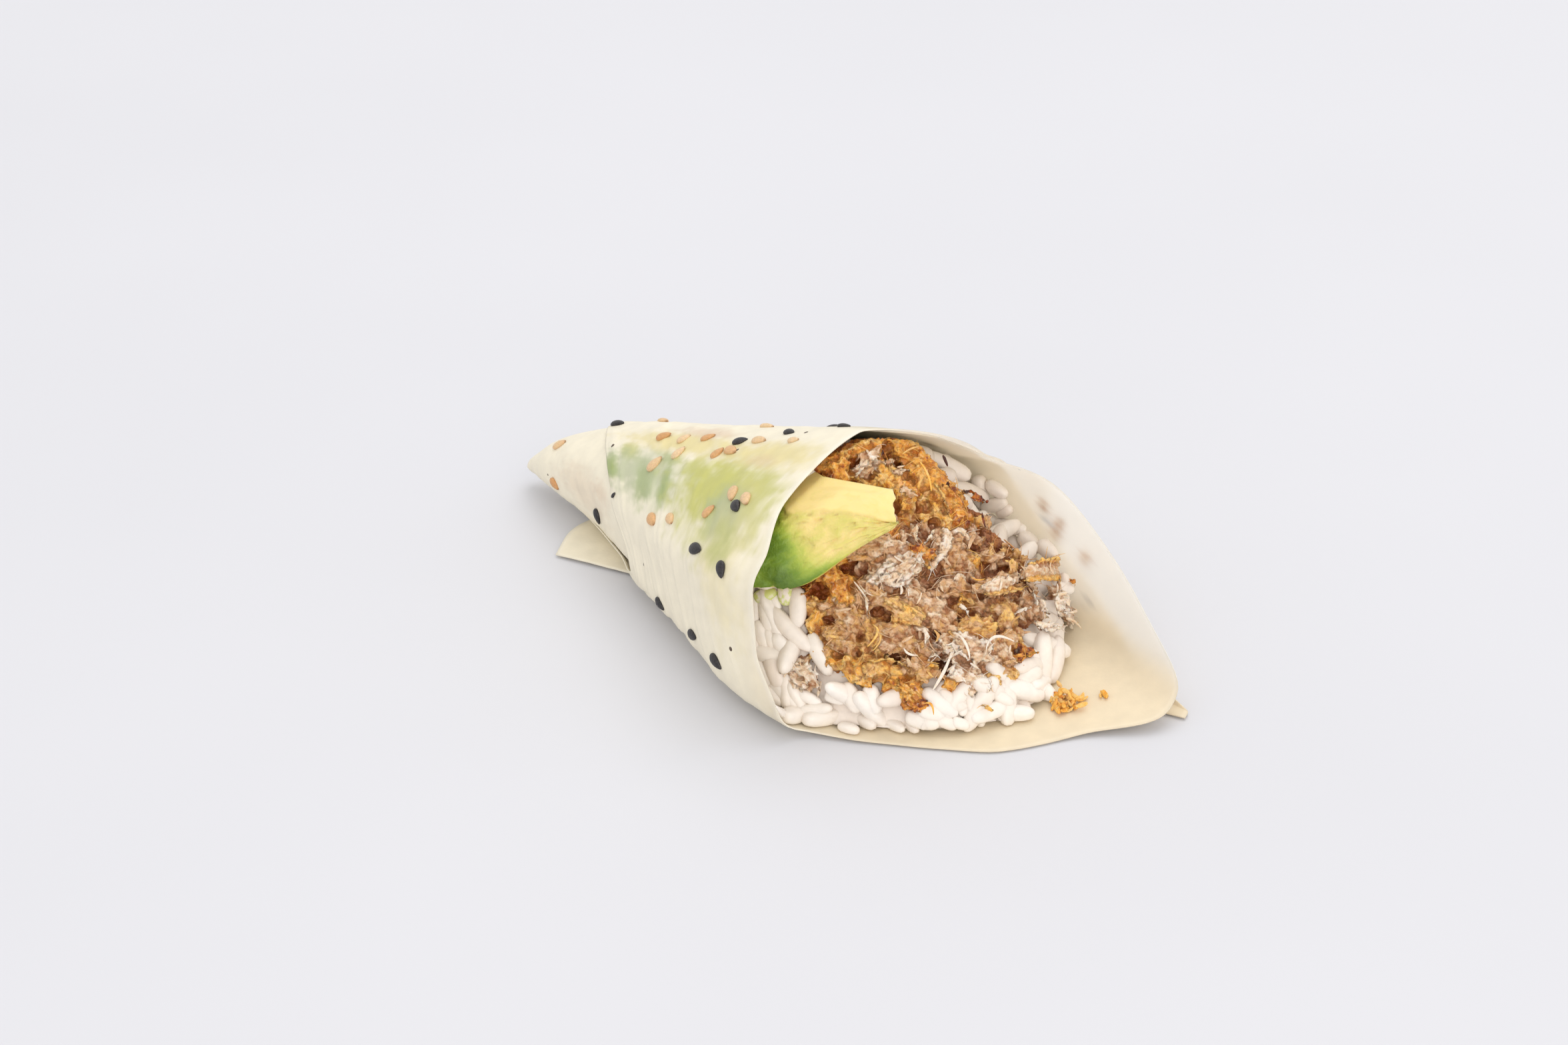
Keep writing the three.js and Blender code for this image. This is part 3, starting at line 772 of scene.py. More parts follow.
finish_piece("black_sesame", black_mesh, black_hull)
finish_piece("tan_sesame", tan_mesh, tan_hull)

# %% [markdown]
# ## The space inside the cone
#
# The filling is packed against the innermost lap, so each filling's shape is a share of the
# way from the cone's middle to that lap. At the mouth it slopes back: it comes furthest out
# along the table and least under the top. Every filling starts as a closed ball whose
# circles of latitude become rings along the roll, and the last of them close over the mouth.

# %% Lining and mouth
MOUTH_REACH = 113.5  # how far the filling would come on the table, 3 mm behind the middle line
WALL_PART = 0.6  # of a ball's latitude that becomes the wall; the rest is the mouth's face
UNDER_FILM, UNDER_HELD_FILM = 0.8, 0.4  # mm below a lap's outer face: where it sags, and near the rim


def lining_radius(angle, x):
    """From the middle to the filling: inside the first lap, and inside its tongue near the point."""
    lapped = max(ramp(5.1, 5.7, angle), ramp(3, 3.2, angle) * (1 - ramp(52, 58, x)))
    depth = lap_depth(angle, x) * (1 - lapped) + lap_depth(angle - TURN, x) * lapped
    return section_radius(angle, x) - depth - ROOM


def mouth_reach(y, z):
    """How far along the roll the filling comes out, at a place across the mouth."""
    spread = 0.035 if y < 3 else 0.03
    slope = 0.93 - 0.35 * ramp(5, 25, y)
    return MOUTH_REACH - spread * (y - 3) ** 2 - slope * z


def mouth_point(angle, share, out):
    """A point of the mouth's face, at a share of the way from the middle to the lining."""
    x = 90.0
    point = polar(x, angle, share * lining_radius(angle, x))
    for _ in range(14):
        x = 0.5 * (x + min(124, mouth_reach(point.y, point.z) + out))
        point = polar(x, angle, share * lining_radius(angle, x))
    return point


def plug(start, share, out, dome, sides, rings):
    """A filling from a start to the mouth, as a bmesh. share(angle) is how far out it fills."""
    bm = bmesh.new()
    bmesh.ops.create_uvsphere(bm, u_segments=sides, v_segments=rings, radius=1.0)
    edges = {}
    for corner in bm.verts:
        way = math.acos(max(-1.0, min(1.0, -corner.co.z))) / math.pi
        angle = math.atan2(corner.co.y, corner.co.x) % TURN
        key = round(angle, 4)
        if key not in edges:
            edges[key] = mouth_point(angle, share(angle), out)
        if way < WALL_PART:
            s = way / WALL_PART
            x = start + (edges[key].x - start) * s
            ease = math.sqrt(min(1.0, 0.12 + 5 * s)) * min(1.0, s / 0.02)  # a blunt start, closed
            corner.co = polar(x, angle, share(angle) * ease * lining_radius(angle, x))
        else:
            inward = (1 - way) / (1 - WALL_PART)
            corner.co = mouth_point(angle, share(angle) * inward, out)
            corner.co.x += dome * (1 - inward * inward)
    bmesh.ops.recalc_face_normals(bm, faces=bm.faces)
    return bm


def kept_inside(points):
    """Presses points that would go through the sheet back against the innermost lap."""
    for point in points:
        x, y, z = point
        rise = z - section_middle(x)
        film = lining_radius(math.atan2(y, rise) % TURN, x) + ROOM
        gap = UNDER_FILM - (UNDER_FILM - UNDER_HELD_FILM) * ramp(72, 80, x)
        share = (film - gap) / max(0.1, math.hypot(y, rise))
        if share < 1:
            point[1] = y * share
            point[2] = section_middle(x) + rise * share
    return points


# %% Looking for a place by eye
SIGHT_FROM, SIGHT_STEP = 450, 0.25  # mm from the camera at which the search starts, and its steps
TABLE_STOP = 0.5  # mm above the table, where it ends at the latest


def line_of_sight(pixel):
    """The way the camera looks through a pixel."""
    across = (pixel[0] - FRAME_PIXELS[0] / 2) / FOCAL_PIXELS
    down = (pixel[1] - FRAME_PIXELS[1] / 2) / FOCAL_PIXELS
    return (camera_turn @ Vector((across, -down, -1))).normalized()


def seen(surface, pixel):
    """Where the line of sight through a pixel meets a surface, and the normal there."""
    spot, normal, _, _ = surface.ray_cast(CAMERA_PLACE, line_of_sight(pixel))
    return spot, normal


def facing_camera(normal):
    """The same direction, turned to the camera's side of a surface."""
    return normal if (camera_turn @ Vector((0, 0, 1))).dot(normal) > 0 else -normal


def out_of_mouth(point):
    """The way the mouth's face looks at a point."""
    return Vector((1, 0.07 * (point.y - 3), 0.85)).normalized()


def on_face(pixel, out):
    """Where the line of sight through a pixel meets the mouth's face, moved out from it."""
    way = line_of_sight(pixel)
    spot = CAMERA_PLACE + way * SIGHT_FROM
    while spot.x > mouth_reach(spot.y, spot.z) and spot.z > TABLE_STOP:
        spot = spot + way * SIGHT_STEP
    return spot + out_of_mouth(spot) * out


FACE_MIDDLE = (1390, 880)
print("middle of the mouth's face:", [round(k, 1) for k in on_face(FACE_MIDDLE, 0)])

# %% [markdown]
# ## Avocado
#
# The slice was cut lengthwise from a ripe fruit and peeled. Its top is a knife cut: smooth,
# pale yellow, faintly striped by the blade. The side that lay against the skin tore as it
# was peeled, so it is lumpy, and its colour runs from yellow through lime to dark green at
# the edge. Again a ball is reshaped: its circles of latitude become sections along the
# slice, and each circle runs over the cut, down the torn side and back behind.

# %% Avocado slice
SLICE_FROM, SLICE_LEAVES = 22, 80
SLICE_TO = ((0, 90.3), (0.25, 92.8), (0.45, 94.2), (0.7, 94.5), (1, 94))  # by share: the end is cut askew
SLICE_BACK_EDGE = ((22, 0), (60, 10), (80, 30))  # degrees in front of the top
SLICE_LOW_EDGE = ((22, 60), (60, 68), (80, 86))
SLICE_THICK = ((22, 3), (30, 6), (60, 9), (80, 9))  # mm
RIDGE = 0.45  # share of the way from the back edge to the low edge
OUTER_PART = 0.66  # of each circle that is on the outside
SLICE_INSET = 0.4  # mm from the lining to the slice


def slice_point(x, share, inside, narrowed=True):
    """A point of the slice's section at x, on its outside or on its inner side."""
    root = min(x, SLICE_LEAVES)
    first = along(SLICE_BACK_EDGE, root)
    degrees = first + (along(SLICE_LOW_EDGE, root) - first) * share
    angle = TURN - math.radians(degrees)
    cut = along(SLICE_THICK, root) * math.sin(math.pi * share) ** 0.6 if inside else 0.0
    point = polar(x, angle, 0.97 * lining_radius(angle, root) - SLICE_INSET - cut)
    free = x - root
    bulge = 0.9 * ramp(1, 5, free) * (1 - ramp(9, 13, free)) * math.sin(math.pi * min(1.0, share / 0.8))
    point.z += section_middle(root) - section_middle(x) + free * (0.12 * share - 0.02)
    point.z += 0.0 if inside else bulge
    point.y += free * (0.42 + 0.35 * share)
    if narrowed and (share > RIDGE or inside):
        taper = 0.85 * ramp(85.5, 95, x)
        top = slice_point(x, RIDGE, False, False)
        point.y += (top.y - point.y) * taper
        point.z += (top.z - point.z) * taper
    return point


def greenness(x, share):
    """From the yellow flesh round the stone to the green that lay under the skin."""
    edge = 0.5 + 0.05 * (x - 80.5)
    return 0.16 * ramp(0.4, 0.5, share) + 0.72 * ramp(-0.1, 0.2, share - edge)


bm = bmesh.new()
green = bm.verts.layers.float.new("green")
torn = bm.verts.layers.float.new("torn")
bmesh.ops.create_uvsphere(bm, u_segments=150, v_segments=150, radius=1.0)
for corner in bm.verts:
    way = math.acos(max(-1.0, min(1.0, -corner.co.z))) / math.pi
    part = (math.atan2(corner.co.y, corner.co.x) / TURN) % 1
    inside = part >= OUTER_PART
    share = (1 - part) / (1 - OUTER_PART) if inside else part / OUTER_PART
    reach = min(1.0, max(0.0, (way - 0.03) / 0.93))
    x = SLICE_FROM + (along(SLICE_TO, share) - SLICE_FROM) * (1 - (1 - reach) ** 1.6)
    point = slice_point(x, share, inside)
    middle = (slice_point(x, RIDGE, False) + slice_point(x, 0.5, True)) / 2
    close = min(1.0, way / 0.03, (1 - way) / 0.04)
    point = middle + (point - middle) * math.sqrt(close)
    outward = (point - middle).normalized() if (point - middle).length > 1e-6 else Vector((1, 0, 0))
    rough = 0.0 if inside else ramp(0.425, 0.47, share + 0.02 * fog(x * 0.6, 1.0, 4.0))
    lumps = fog(x * 0.3, share * 6, 4.0) + 0.4 * fog(x * 0.9, share * 18, 9.0)
    tears = ramp(0.1, 0.28, fog(x * 0.45 + 2, share * 5.0, 12.0))
    blade = 0.035 * math.sin(share * 46 + 1.2 * fog(x * 0.08, share, 1.0))
    dip = rough * (0.5 * (lumps - 0.8) - 0.4 * tears) + (1 - rough) * (blade - 0.035)
    point += outward * min(0.1, dip)
    point.x += min(0.0, 0.8 * ramp(0.88, 0.97, way) * (fog(share * 5, part * 3, 6.0) - 0.3))
    corner.co = point
    skin = 0.1 if inside else greenness(x, share)
    corner[green] = max(0.0, min(1.0, skin + (0.16 * lumps - 0.06 * tears) * rough))
    corner[torn] = rough
bmesh.ops.recalc_face_normals(bm, faces=bm.faces)
avocado_mesh = mesh_from("avocado_slice", bm)

# %% Avocado flesh
FLESH_MM, FIBRE_MM = 1.6, 0.35

avocado_flesh, tree, output, where = new_material("ripe avocado flesh")
own = add(tree, "ShaderNodeAttribute", attribute_name="green")
marble = add(
    tree, "ShaderNodeTexNoise",
    {"Vector": where, "Scale": METRE / FLESH_MM, "Detail": 5.0, "Distortion": 0.6},
)
shift = add(
    tree, "ShaderNodeMapRange",
    {"Value": marble.outputs["Fac"], "From Min": 0.3, "From Max": 0.7, "To Min": -0.07, "To Max": 0.07},
)
greener = add(tree, "ShaderNodeMath", {0: own.outputs["Fac"], 1: shift.outputs["Result"]}, operation="ADD")
base = add(
    tree, "ShaderNodeValToRGB", {"Fac": greener.outputs["Value"]},
    stops=((0.0, "#F0D890"), (1.0, "#4F6C1C"), (0.16, "#DDCD78"), (0.36, "#CCC966"), (0.56, "#A5B545"),
           (0.78, "#74902C")),
)
rough_side = add(tree, "ShaderNodeAttribute", attribute_name="torn")
fibre = add(tree, "ShaderNodeTexNoise", {"Vector": where, "Scale": METRE / FIBRE_MM, "Detail": 3.0})
height = add(tree, "ShaderNodeMath", {0: fibre.outputs["Fac"], 1: marble.outputs["Fac"]}, operation="ADD")
depth = add(tree, "ShaderNodeMapRange", {"Value": rough_side.outputs["Fac"], "To Min": 0.12, "To Max": 0.6})
relief = add(
    tree, "ShaderNodeBump",
    {"Height": height.outputs["Value"], "Strength": depth.outputs["Result"], "Distance": 0.18 * MM},
)
shader = add(
    tree, "ShaderNodeBsdfPrincipled",
    {"Base Color": base.outputs["Color"], "Roughness": 0.36, "IOR": 1.46, "Subsurface Weight": 0.35,
     "Subsurface Radius": (1.0, 0.8, 0.25), "Subsurface Scale": 0.9 * MM, "Normal": relief.outputs["Normal"]},
)
tree.links.new(shader.outputs["BSDF"], output.inputs["Surface"])
finish_piece("avocado_slice", avocado_mesh, avocado_flesh, "avocado")

# %% [markdown]
# ## Flaked fish, first the body
#
# The fish was fried and pulled apart with a fork: lumps of golden crust, and between them
# pale flesh that falls into flakes and threads. Each lump is a heap of small shreds, which
# lie along it if it's flesh and anyhow if it's crust. The heaps are laid over a core that
# sits deeper than they do, so that dark hollows stay between them. Flakes that can be told
# apart are each bent through three places, and a voxel remesh melts everything together.
# Modelled as clean separate lumps, it would show seams that pulled fish doesn't have.

# %% How far the fish fills the mouth
FISH_SHARE = (  # angle round the mouth, and how much of the way out is fish
    (0, 0.96), (0.5, 0.94), (0.9, 0.78), (1.3, 0.6), (1.55, 0.56), (1.9, 0.72), (2.3, 0.78), (3.6, 0.77),
    (4.2, 0.73), (4.6, 0.66), (5, 0.78), (5.6, 0.94), (TURN, 0.96),
)
FISH_FROM = 48
HOLLOW = 2.4  # mm from the mouth's face down to the core


def fish_share(angle):
    """The fish's part of the way from the mouth's middle to the lining."""
    return along(FISH_SHARE, angle)


# %% Lumps that can be told apart
LUMPS = (  # both ends in pixels, width and height in mm, how far it stands out, browning, crustiness
    ((1232, 700), (1262, 668), 4.6, 4.0, 1.2, 0.70, 1.0),  # crust under the top
    ((1255, 690), (1318, 652), 5.2, 4.0, 1.6, 0.66, 1.0),
    ((1258, 690), (1268, 728), 3.6, 3.4, 1.6, 0.70, 1.0),
    ((1292, 705), (1312, 680), 3.0, 2.6, 1.4, 0.16, 0.2),
    ((1338, 664), (1372, 690), 5.4, 4.0, 1.6, 0.66, 1.0),
    ((1365, 672), (1396, 708), 4.0, 3.6, 1.8, 0.70, 1.0),
    ((1322, 716), (1344, 722), 3.6, 3.4, 1.6, 0.62, 0.9),
    ((1345, 735), (1372, 752), 4.2, 3.4, 1.8, 0.62, 0.9),
    ((1366, 700), (1392, 742), 3.6, 3.0, 1.6, 0.58, 0.8),
    ((1392, 722), (1436, 752), 6.4, 4.0, 2.2, 0.70, 1.0),
    ((1408, 752), (1446, 776), 6.0, 3.8, 2.2, 0.70, 1.0),
    ((1400, 735), (1420, 788), 3.2, 3.0, 1.6, 0.60, 0.7),
    ((1268, 826), (1340, 818), 3.8, 2.4, 2.2, 0.30, 0.1),  # slab under the avocado
    ((1330, 786), (1342, 820), 1.6, 2.0, 1.8, 0.72, 0.5),
    ((1310, 868), (1372, 840), 5.4, 3.6, 2.8, 0.10, 0.2),  # light lump
    ((1366, 828), (1386, 836), 2.2, 2.2, 3.4, 0.76, 0.7),
    ((1238, 850), (1270, 892), 5.0, 3.4, 2.2, 0.72, 1.0),  # orange lump
    ((1398, 862), (1428, 800), 5.0, 3.0, 0.6, 0.30, 0.5),
    ((1428, 800), (1450, 862), 5.4, 3.4, 1.2, 0.34, 0.6),
    ((1418, 870), (1446, 884), 4.2, 3.0, 1.0, 0.30, 0.4),
    ((1452, 826), (1462, 850), 2.6, 2.8, 0.8, 0.62, 0.8),
    ((1456, 888), (1520, 874), 3.6, 3.4, 3.0, 0.34, 0.3),  # browned slab at the back
    ((1504, 868), (1584, 874), 3.4, 3.0, 3.2, 0.48, 0.3),
    ((1492, 902), (1520, 940), 4.6, 3.4, 1.8, 0.44, 0.5),
    ((1472, 912), (1500, 920), 3.4, 2.6, 0.6, 0.36, 0.3),
    ((1534, 900), (1560, 925), 3.0, 2.4, 1.4, 0.28, 0.2),
    ((1576, 890), (1594, 935), 3.0, 2.4, 2.0, 0.14, 0.0),
    ((1592, 912), (1604, 942), 2.4, 2.0, 1.8, 0.68, 0.4),
    ((1426, 950), (1492, 948), 4.6, 3.6, 2.4, 0.48, 0.7),
    ((1416, 968), (1480, 985), 4.8, 3.8, 2.8, 0.14, 0.3),
    ((1440, 1005), (1470, 1030), 4.2, 3.0, 2.2, 0.12, 0.3),
    ((1484, 975), (1516, 1000), 3.6, 2.8, 1.8, 0.22, 0.3),
    ((1514, 992), (1544, 978), 2.0, 2.0, 1.6, 0.84, 0.1),
    ((1496, 960), (1530, 962), 3.0, 2.4, 0.8, 0.40, 0.5),
    ((1290, 888), (1340, 906), 4.0, 3.0, 1.6, 0.36, 0.5),
    ((1312, 900), (1392, 936), 2.8, 2.4, 2.0, 0.50, 0.3),
    ((1345, 880), (1400, 900), 4.4, 3.0, 1.0, 0.24, 0.3),
    ((1380, 905), (1425, 925), 4.4, 3.0, 0.9, 0.26, 0.3),
    ((1400, 930), (1424, 945), 3.0, 2.6, 1.0, 0.34, 0.4),
    ((1252, 915), (1290, 935), 4.8, 3.0, 1.4, 0.38, 0.5),
    ((1246, 945), (1280, 970), 4.2, 2.8, 1.4, 0.42, 0.6),
    ((1300, 935), (1325, 972), 3.2, 2.6, 1.2, 0.52, 0.4),
    ((1326, 948), (1372, 975), 4.6, 3.0, 1.6, 0.34, 0.5),
    ((1378, 950), (1402, 985), 3.6, 2.8, 0.8, 0.28, 0.2),
    ((1285, 1000), (1352, 1004), 3.6, 3.0, 1.8, 0.56, 0.6),  # amber crust at the bottom
    ((1352, 1000), (1406, 1012), 3.6, 3.0, 2.0, 0.42, 0.3),
    ((1250, 992), (1310, 1026), 3.4, 2.8, 1.4, 0.58, 0.7),
    ((1330, 1022), (1382, 1052), 4.0, 3.2, 2.0, 0.68, 0.8),
    ((1352, 1046), (1392, 1066), 2.8, 2.6, 2.0, 0.76, 0.8),
    ((1420, 1022), (1440, 1030), 2.6, 2.4, 0.8, 0.66, 0.3),
    ((1478, 1020), (1530, 1008), 2.6, 2.2, 1.0, 0.52, 0.5),
    ((1190, 1000), (1218, 1026), 4.4, 3.0, 1.6, 0.16, 0.2),  # pale shreds low in front
    ((1214, 905), (1226, 945), 3.0, 2.6, 0.8, 0.62, 0.6),
    ((1220, 950), (1236, 990), 3.0, 2.6, 0.9, 0.50, 0.5),
)
LUMP = ball(2)


def shred(place, rows, radii, rng):
    """The ball template as one shred, roughened."""
    shape = LUMP[0] * (1 + 0.12 * (rng.random((len(LUMP[0]), 1)) - 0.5))
    return (shape * radii) @ rows + place


def heap(middle, lengthwise, outward, half, crust, count, rng):
    """Places for the shreds of a lump: a middle, a rotation and three radii for each."""
    rows = turned(lengthwise, outward)
    for _ in range(count):
        spot = rng.normal(size=3)
        spot *= (0.75 + 0.25 * rng.random()) / np.linalg.norm(spot)
        place = np.array(middle) + (spot * half) @ rows
        loose = 0.25 + 0.9 * crust
        lie = Vector(lengthwise.normalized()) + Vector(rng.normal(size=3) * loose * 0.7)
        lean = Vector(outward) + Vector(rng.normal(size=3) * 0.45)
        thick = 0.34 + 0.2 * rng.random() + 0.25 * crust
        long = (1.0 + 1.2 * rng.random()) * (1 - 0.45 * crust)
        yield place, turned(lie, lean), np.array((long, thick * (1.2 + 0.6 * rng.random()), thick))


rng = np.random.default_rng(21)
shreds, shred_browning, shred_lie, zones = [], [], [], []


def keep_shred(shape, place, rows, brown):
    """Adds a shred to the ones that will be melted together."""
    shreds.append(kept_inside(shape))
    shred_lie.append((np.array(place), rows))
    shred_browning.append(brown)


for start, end, wide, high, out, brown, crust in LUMPS:
    one, two = on_face(start, out - high / 2), on_face(end, out - high / 2)
    outward = out_of_mouth(one)
    half = np.array(((two - one).length / 2 + 0.3 * wide, wide / 2, high / 2)) * 0.86
    middle = (one + two) / 2
    rows = turned(two - one, outward)
    zones.append((np.array(middle), half, brown))
    keep_shred(shred(np.array(middle), rows, half * 0.84, rng), middle, rows, brown)
    count = int(8 + 2.4 * half[0] * half[1])
    for place, rows, radii in heap(middle, two - one, outward, half, crust, count, rng):
        keep_shred(shred(place, rows, radii, rng), place, rows, brown + 0.055 * rng.normal())
print(len(LUMPS), "lumps of", len(shreds), "shreds")

# %% Flakes that can be told apart
FLAKES_SEEN = (  # three places in pixels, width and thickness in mm, how far it stands out, browning
    ((1268, 832), (1302, 812), (1342, 826), 3.2, 1.2, 1.6, 0.30),
    ((1272, 838), (1300, 838), (1336, 834), 1.2, 1.0, 1.4, 0.42),
    ((1380, 780), (1370, 800), (1374, 822), 1.5, 0.4, 1.0, 0.22),
    ((1396, 792), (1392, 806), (1376, 826), 1.2, 0.4, 1.4, 0.14),
    ((1352, 790), (1354, 806), (1350, 826), 1.2, 0.4, 0.8, 0.24),
    ((1362, 778), (1366, 795), (1362, 808), 0.9, 0.4, 0.6, 0.28),
    ((1406, 794), (1418, 812), (1396, 856), 1.8, 0.8, 1.4, 0.12),
    ((1412, 826), (1402, 846), (1390, 862), 1.3, 0.7, 1.2, 0.16),
    ((1424, 800), (1440, 800), (1450, 812), 1.4, 0.9, 1.2, 0.12),
    ((1334, 786), (1340, 800), (1346, 826), 0.9, 0.6, 1.8, 0.76),
    ((1312, 862), (1340, 848), (1366, 842), 1.6, 1.0, 2.0, 0.04),
    ((1312, 874), (1342, 866), (1370, 852), 1.6, 1.0, 2.2, 0.10),
    ((1330, 880), (1350, 876), (1372, 862), 1.3, 0.8, 1.8, 0.08),
    ((1358, 838), (1372, 832), (1386, 826), 1.0, 0.7, 2.8, 0.82),
    ((1372, 842), (1384, 848), (1388, 864), 0.9, 0.6, 2.2, 0.62),
    ((1456, 888), (1484, 884), (1514, 874), 2.0, 1.4, 3.6, 0.16),
    ((1500, 872), (1542, 868), (1584, 866), 2.2, 1.6, 4.2, 0.26),
    ((1498, 872), (1500, 858), (1492, 848), 2.2, 1.4, 3.6, 0.50),
    ((1504, 862), (1545, 857), (1588, 858), 1.0, 0.9, 4.6, 0.58),
    ((1500, 886), (1545, 882), (1584, 884), 1.2, 1.0, 3.8, 0.60),
    ((1592, 858), (1590, 874), (1580, 892), 1.0, 0.8, 4.2, 0.80),
    ((1460, 900), (1490, 898), (1530, 888), 1.1, 0.9, 3.0, 0.54),
    ((1532, 888), (1536, 905), (1544, 926), 0.8, 0.5, 2.4, 0.04),
    ((1546, 902), (1552, 918), (1564, 934), 1.2, 0.6, 2.2, 0.08),
    ((1574, 892), (1566, 915), (1574, 945), 1.3, 0.6, 2.6, 0.10),
    ((1584, 884), (1574, 912), (1582, 940), 1.1, 0.5, 2.8, 0.06),
    ((1592, 884), (1582, 908), (1590, 932), 1.0, 0.5, 2.6, 0.12),
    ((1532, 934), (1556, 950), (1588, 946), 1.6, 0.8, 2.4, 0.06),
    ((1510, 930), (1522, 922), (1536, 918), 0.9, 0.6, 2.2, 0.10),
    ((1596, 908), (1608, 925), (1600, 950), 1.6, 1.0, 1.4, 0.70),
    ((1422, 958), (1430, 978), (1452, 998), 1.0, 0.5, 2.6, 0.02),
    ((1430, 996), (1424, 1006), (1420, 1016), 0.8, 0.4, 1.8, 0.10),
    ((1390, 992), (1398, 984), (1412, 980), 0.7, 0.4, 1.6, 0.08),
    ((1372, 940), (1388, 950), (1388, 966), 1.4, 0.6, 1.4, 0.12),
    ((1434, 908), (1440, 916), (1450, 926), 1.0, 0.5, 1.6, 0.10),
    ((1436, 888), (1438, 900), (1426, 914), 0.7, 0.5, 1.6, 0.66),
    ((1296, 890), (1300, 906), (1302, 928), 0.8, 0.5, 1.6, 0.18),
    ((1320, 896), (1350, 908), (1396, 938), 1.4, 0.6, 2.0, 0.50),
    ((1300, 1000), (1330, 988), (1360, 1002), 1.0, 0.7, 2.0, 0.58),
    ((1356, 1006), (1384, 1000), (1408, 1004), 2.2, 1.4, 1.6, 0.46),
    ((1390, 998), (1402, 1000), (1410, 1004), 1.0, 0.8, 2.4, 0.60),
    ((1330, 1016), (1352, 1034), (1380, 1050), 0.9, 0.7, 2.2, 0.72),
    ((1344, 1012), (1362, 1030), (1384, 1048), 0.7, 0.5, 2.4, 0.64),
    ((1352, 1046), (1366, 1060), (1384, 1068), 0.8, 0.6, 2.2, 0.80),
    ((1290, 996), (1302, 990), (1312, 998), 0.8, 0.5, 2.2, 0.80),
    ((1184, 1002), (1196, 1010), (1212, 1022), 1.2, 0.8, 1.4, 0.12),
    ((1192, 992), (1206, 1000), (1222, 1010), 1.1, 0.7, 1.4, 0.18),
    ((1186, 1014), (1200, 1024), (1216, 1032), 1.0, 0.7, 1.4, 0.14),
    ((1188, 966), (1192, 974), (1194, 982), 1.0, 0.7, 1.2, 0.78),
    ((1464, 1058), (1478, 1064), (1490, 1070), 1.3, 0.9, 2.2, 0.56),
    ((1520, 1000), (1532, 988), (1544, 980), 1.1, 0.8, 1.8, 0.84),
    ((1492, 1000), (1508, 998), (1526, 1000), 0.8, 0.6, 2.2, 0.40),
    ((1300, 706), (1306, 690), (1316, 684), 0.8, 0.5, 1.4, 0.20),
    ((1276, 722), (1284, 712), (1296, 702), 0.9, 0.5, 1.6, 0.20),
    ((1322, 700), (1332, 693), (1344, 696), 0.9, 0.5, 1.2, 0.22),
    ((1334, 712), (1346, 709), (1358, 708), 0.8, 0.5, 1.4, 0.24),
    ((1340, 738), (1356, 742), (1366, 752), 1.4, 0.9, 2.2, 0.30),
    ((1256, 676), (1266, 680), (1282, 680), 0.9, 0.5, 2.6, 0.82),
    ((1316, 672), (1320, 684), (1314, 694), 0.8, 0.5, 1.6, 0.93),
    ((1400, 730), (1404, 738), (1408, 744), 0.7, 0.5, 3.0, 0.93),
    ((1424, 746), (1444, 752), (1462, 768), 0.8, 0.6, 3.0, 0.95),
    ((1432, 754), (1446, 762), (1458, 770), 0.8, 0.5, 2.8, 0.86),
    ((1384, 726), (1400, 748), (1414, 786), 0.8, 0.5, 2.4, 0.56),
)


def spine(path, out, run):
    """Places along a curve bent through three places seen on the mouth's face."""
    first, middle, last = (np.array(on_face(pixel, out)) for pixel in path)
    bend = 2 * middle - (first + last) / 2
    return (1 - run) ** 2 * first + 2 * run * (1 - run) * bend + run ** 2 * last


def drawn(template, path, wide, thick, out, rng):
    """A template stretched along such a curve, standing out from the face."""
    corners = template[0]
    rows = turned(on_face(path[2], out) - on_face(path[0], out), out_of_mouth(on_face(path[1], 0)))
    shape = corners * np.array((0.0, wide / 2, thick / 2))
    shape[:, 1:] *= 1 + 0.35 * (rng.random((len(shape), 1)) - 0.5)
    return shape @ rows + spine(path, out - thick / 2, corners[:, 0:1] * 0.5 + 0.5), rows


for *path, wide, thick, out, brown in FLAKES_SEEN:
    shape, rows = drawn(LUMP, path, wide, thick * 1.3, out, rng)
    keep_shred(shape, shape.mean(axis=0), rows, brown)

# %% Loose flesh between the lumps
LOOSE_SHREDS = 420
GOLDEN_TURN = 2.39996  # radians from one shred to the next, so that they spread evenly
LOOSE_BROWN = 0.38  # browning of a shred that is part of no lump

for i in range(LOOSE_SHREDS):
    angle = (i * GOLDEN_TURN + 0.4 * rng.random()) % TURN
    share = math.sqrt((i + 0.6) / LOOSE_SHREDS)
    spot = mouth_point(angle, 0.93 * share * fish_share(angle), 0.2 - HOLLOW * rng.random())
    outward = Vector((1, 0, 0.8)) + Vector(rng.normal(size=3) * 0.4)
    lie = Vector(noise.noise_vector(spot / 6.0)) + Vector(rng.normal(size=3) * 0.15)
    radii = np.array((0.9 + 1.2 * rng.random(), 0.5 + 0.4 * rng.random(), 0.35 + 0.25 * rng.random()))
    near, half, brown = min(zones, key=lambda zone: np.linalg.norm(zone[0] - spot) / zone[1].max())
    inside = np.linalg.norm(near - spot) < 1.5 * half.max()
    rows = turned(lie, outward)
    brown = (brown if inside else LOOSE_BROWN) + 0.08 * rng.normal()
    keep_shred(shred(np.array(spot), rows, radii, rng), spot, rows, brown)

# %% Melt the shreds together
VOXEL_MM = 0.34

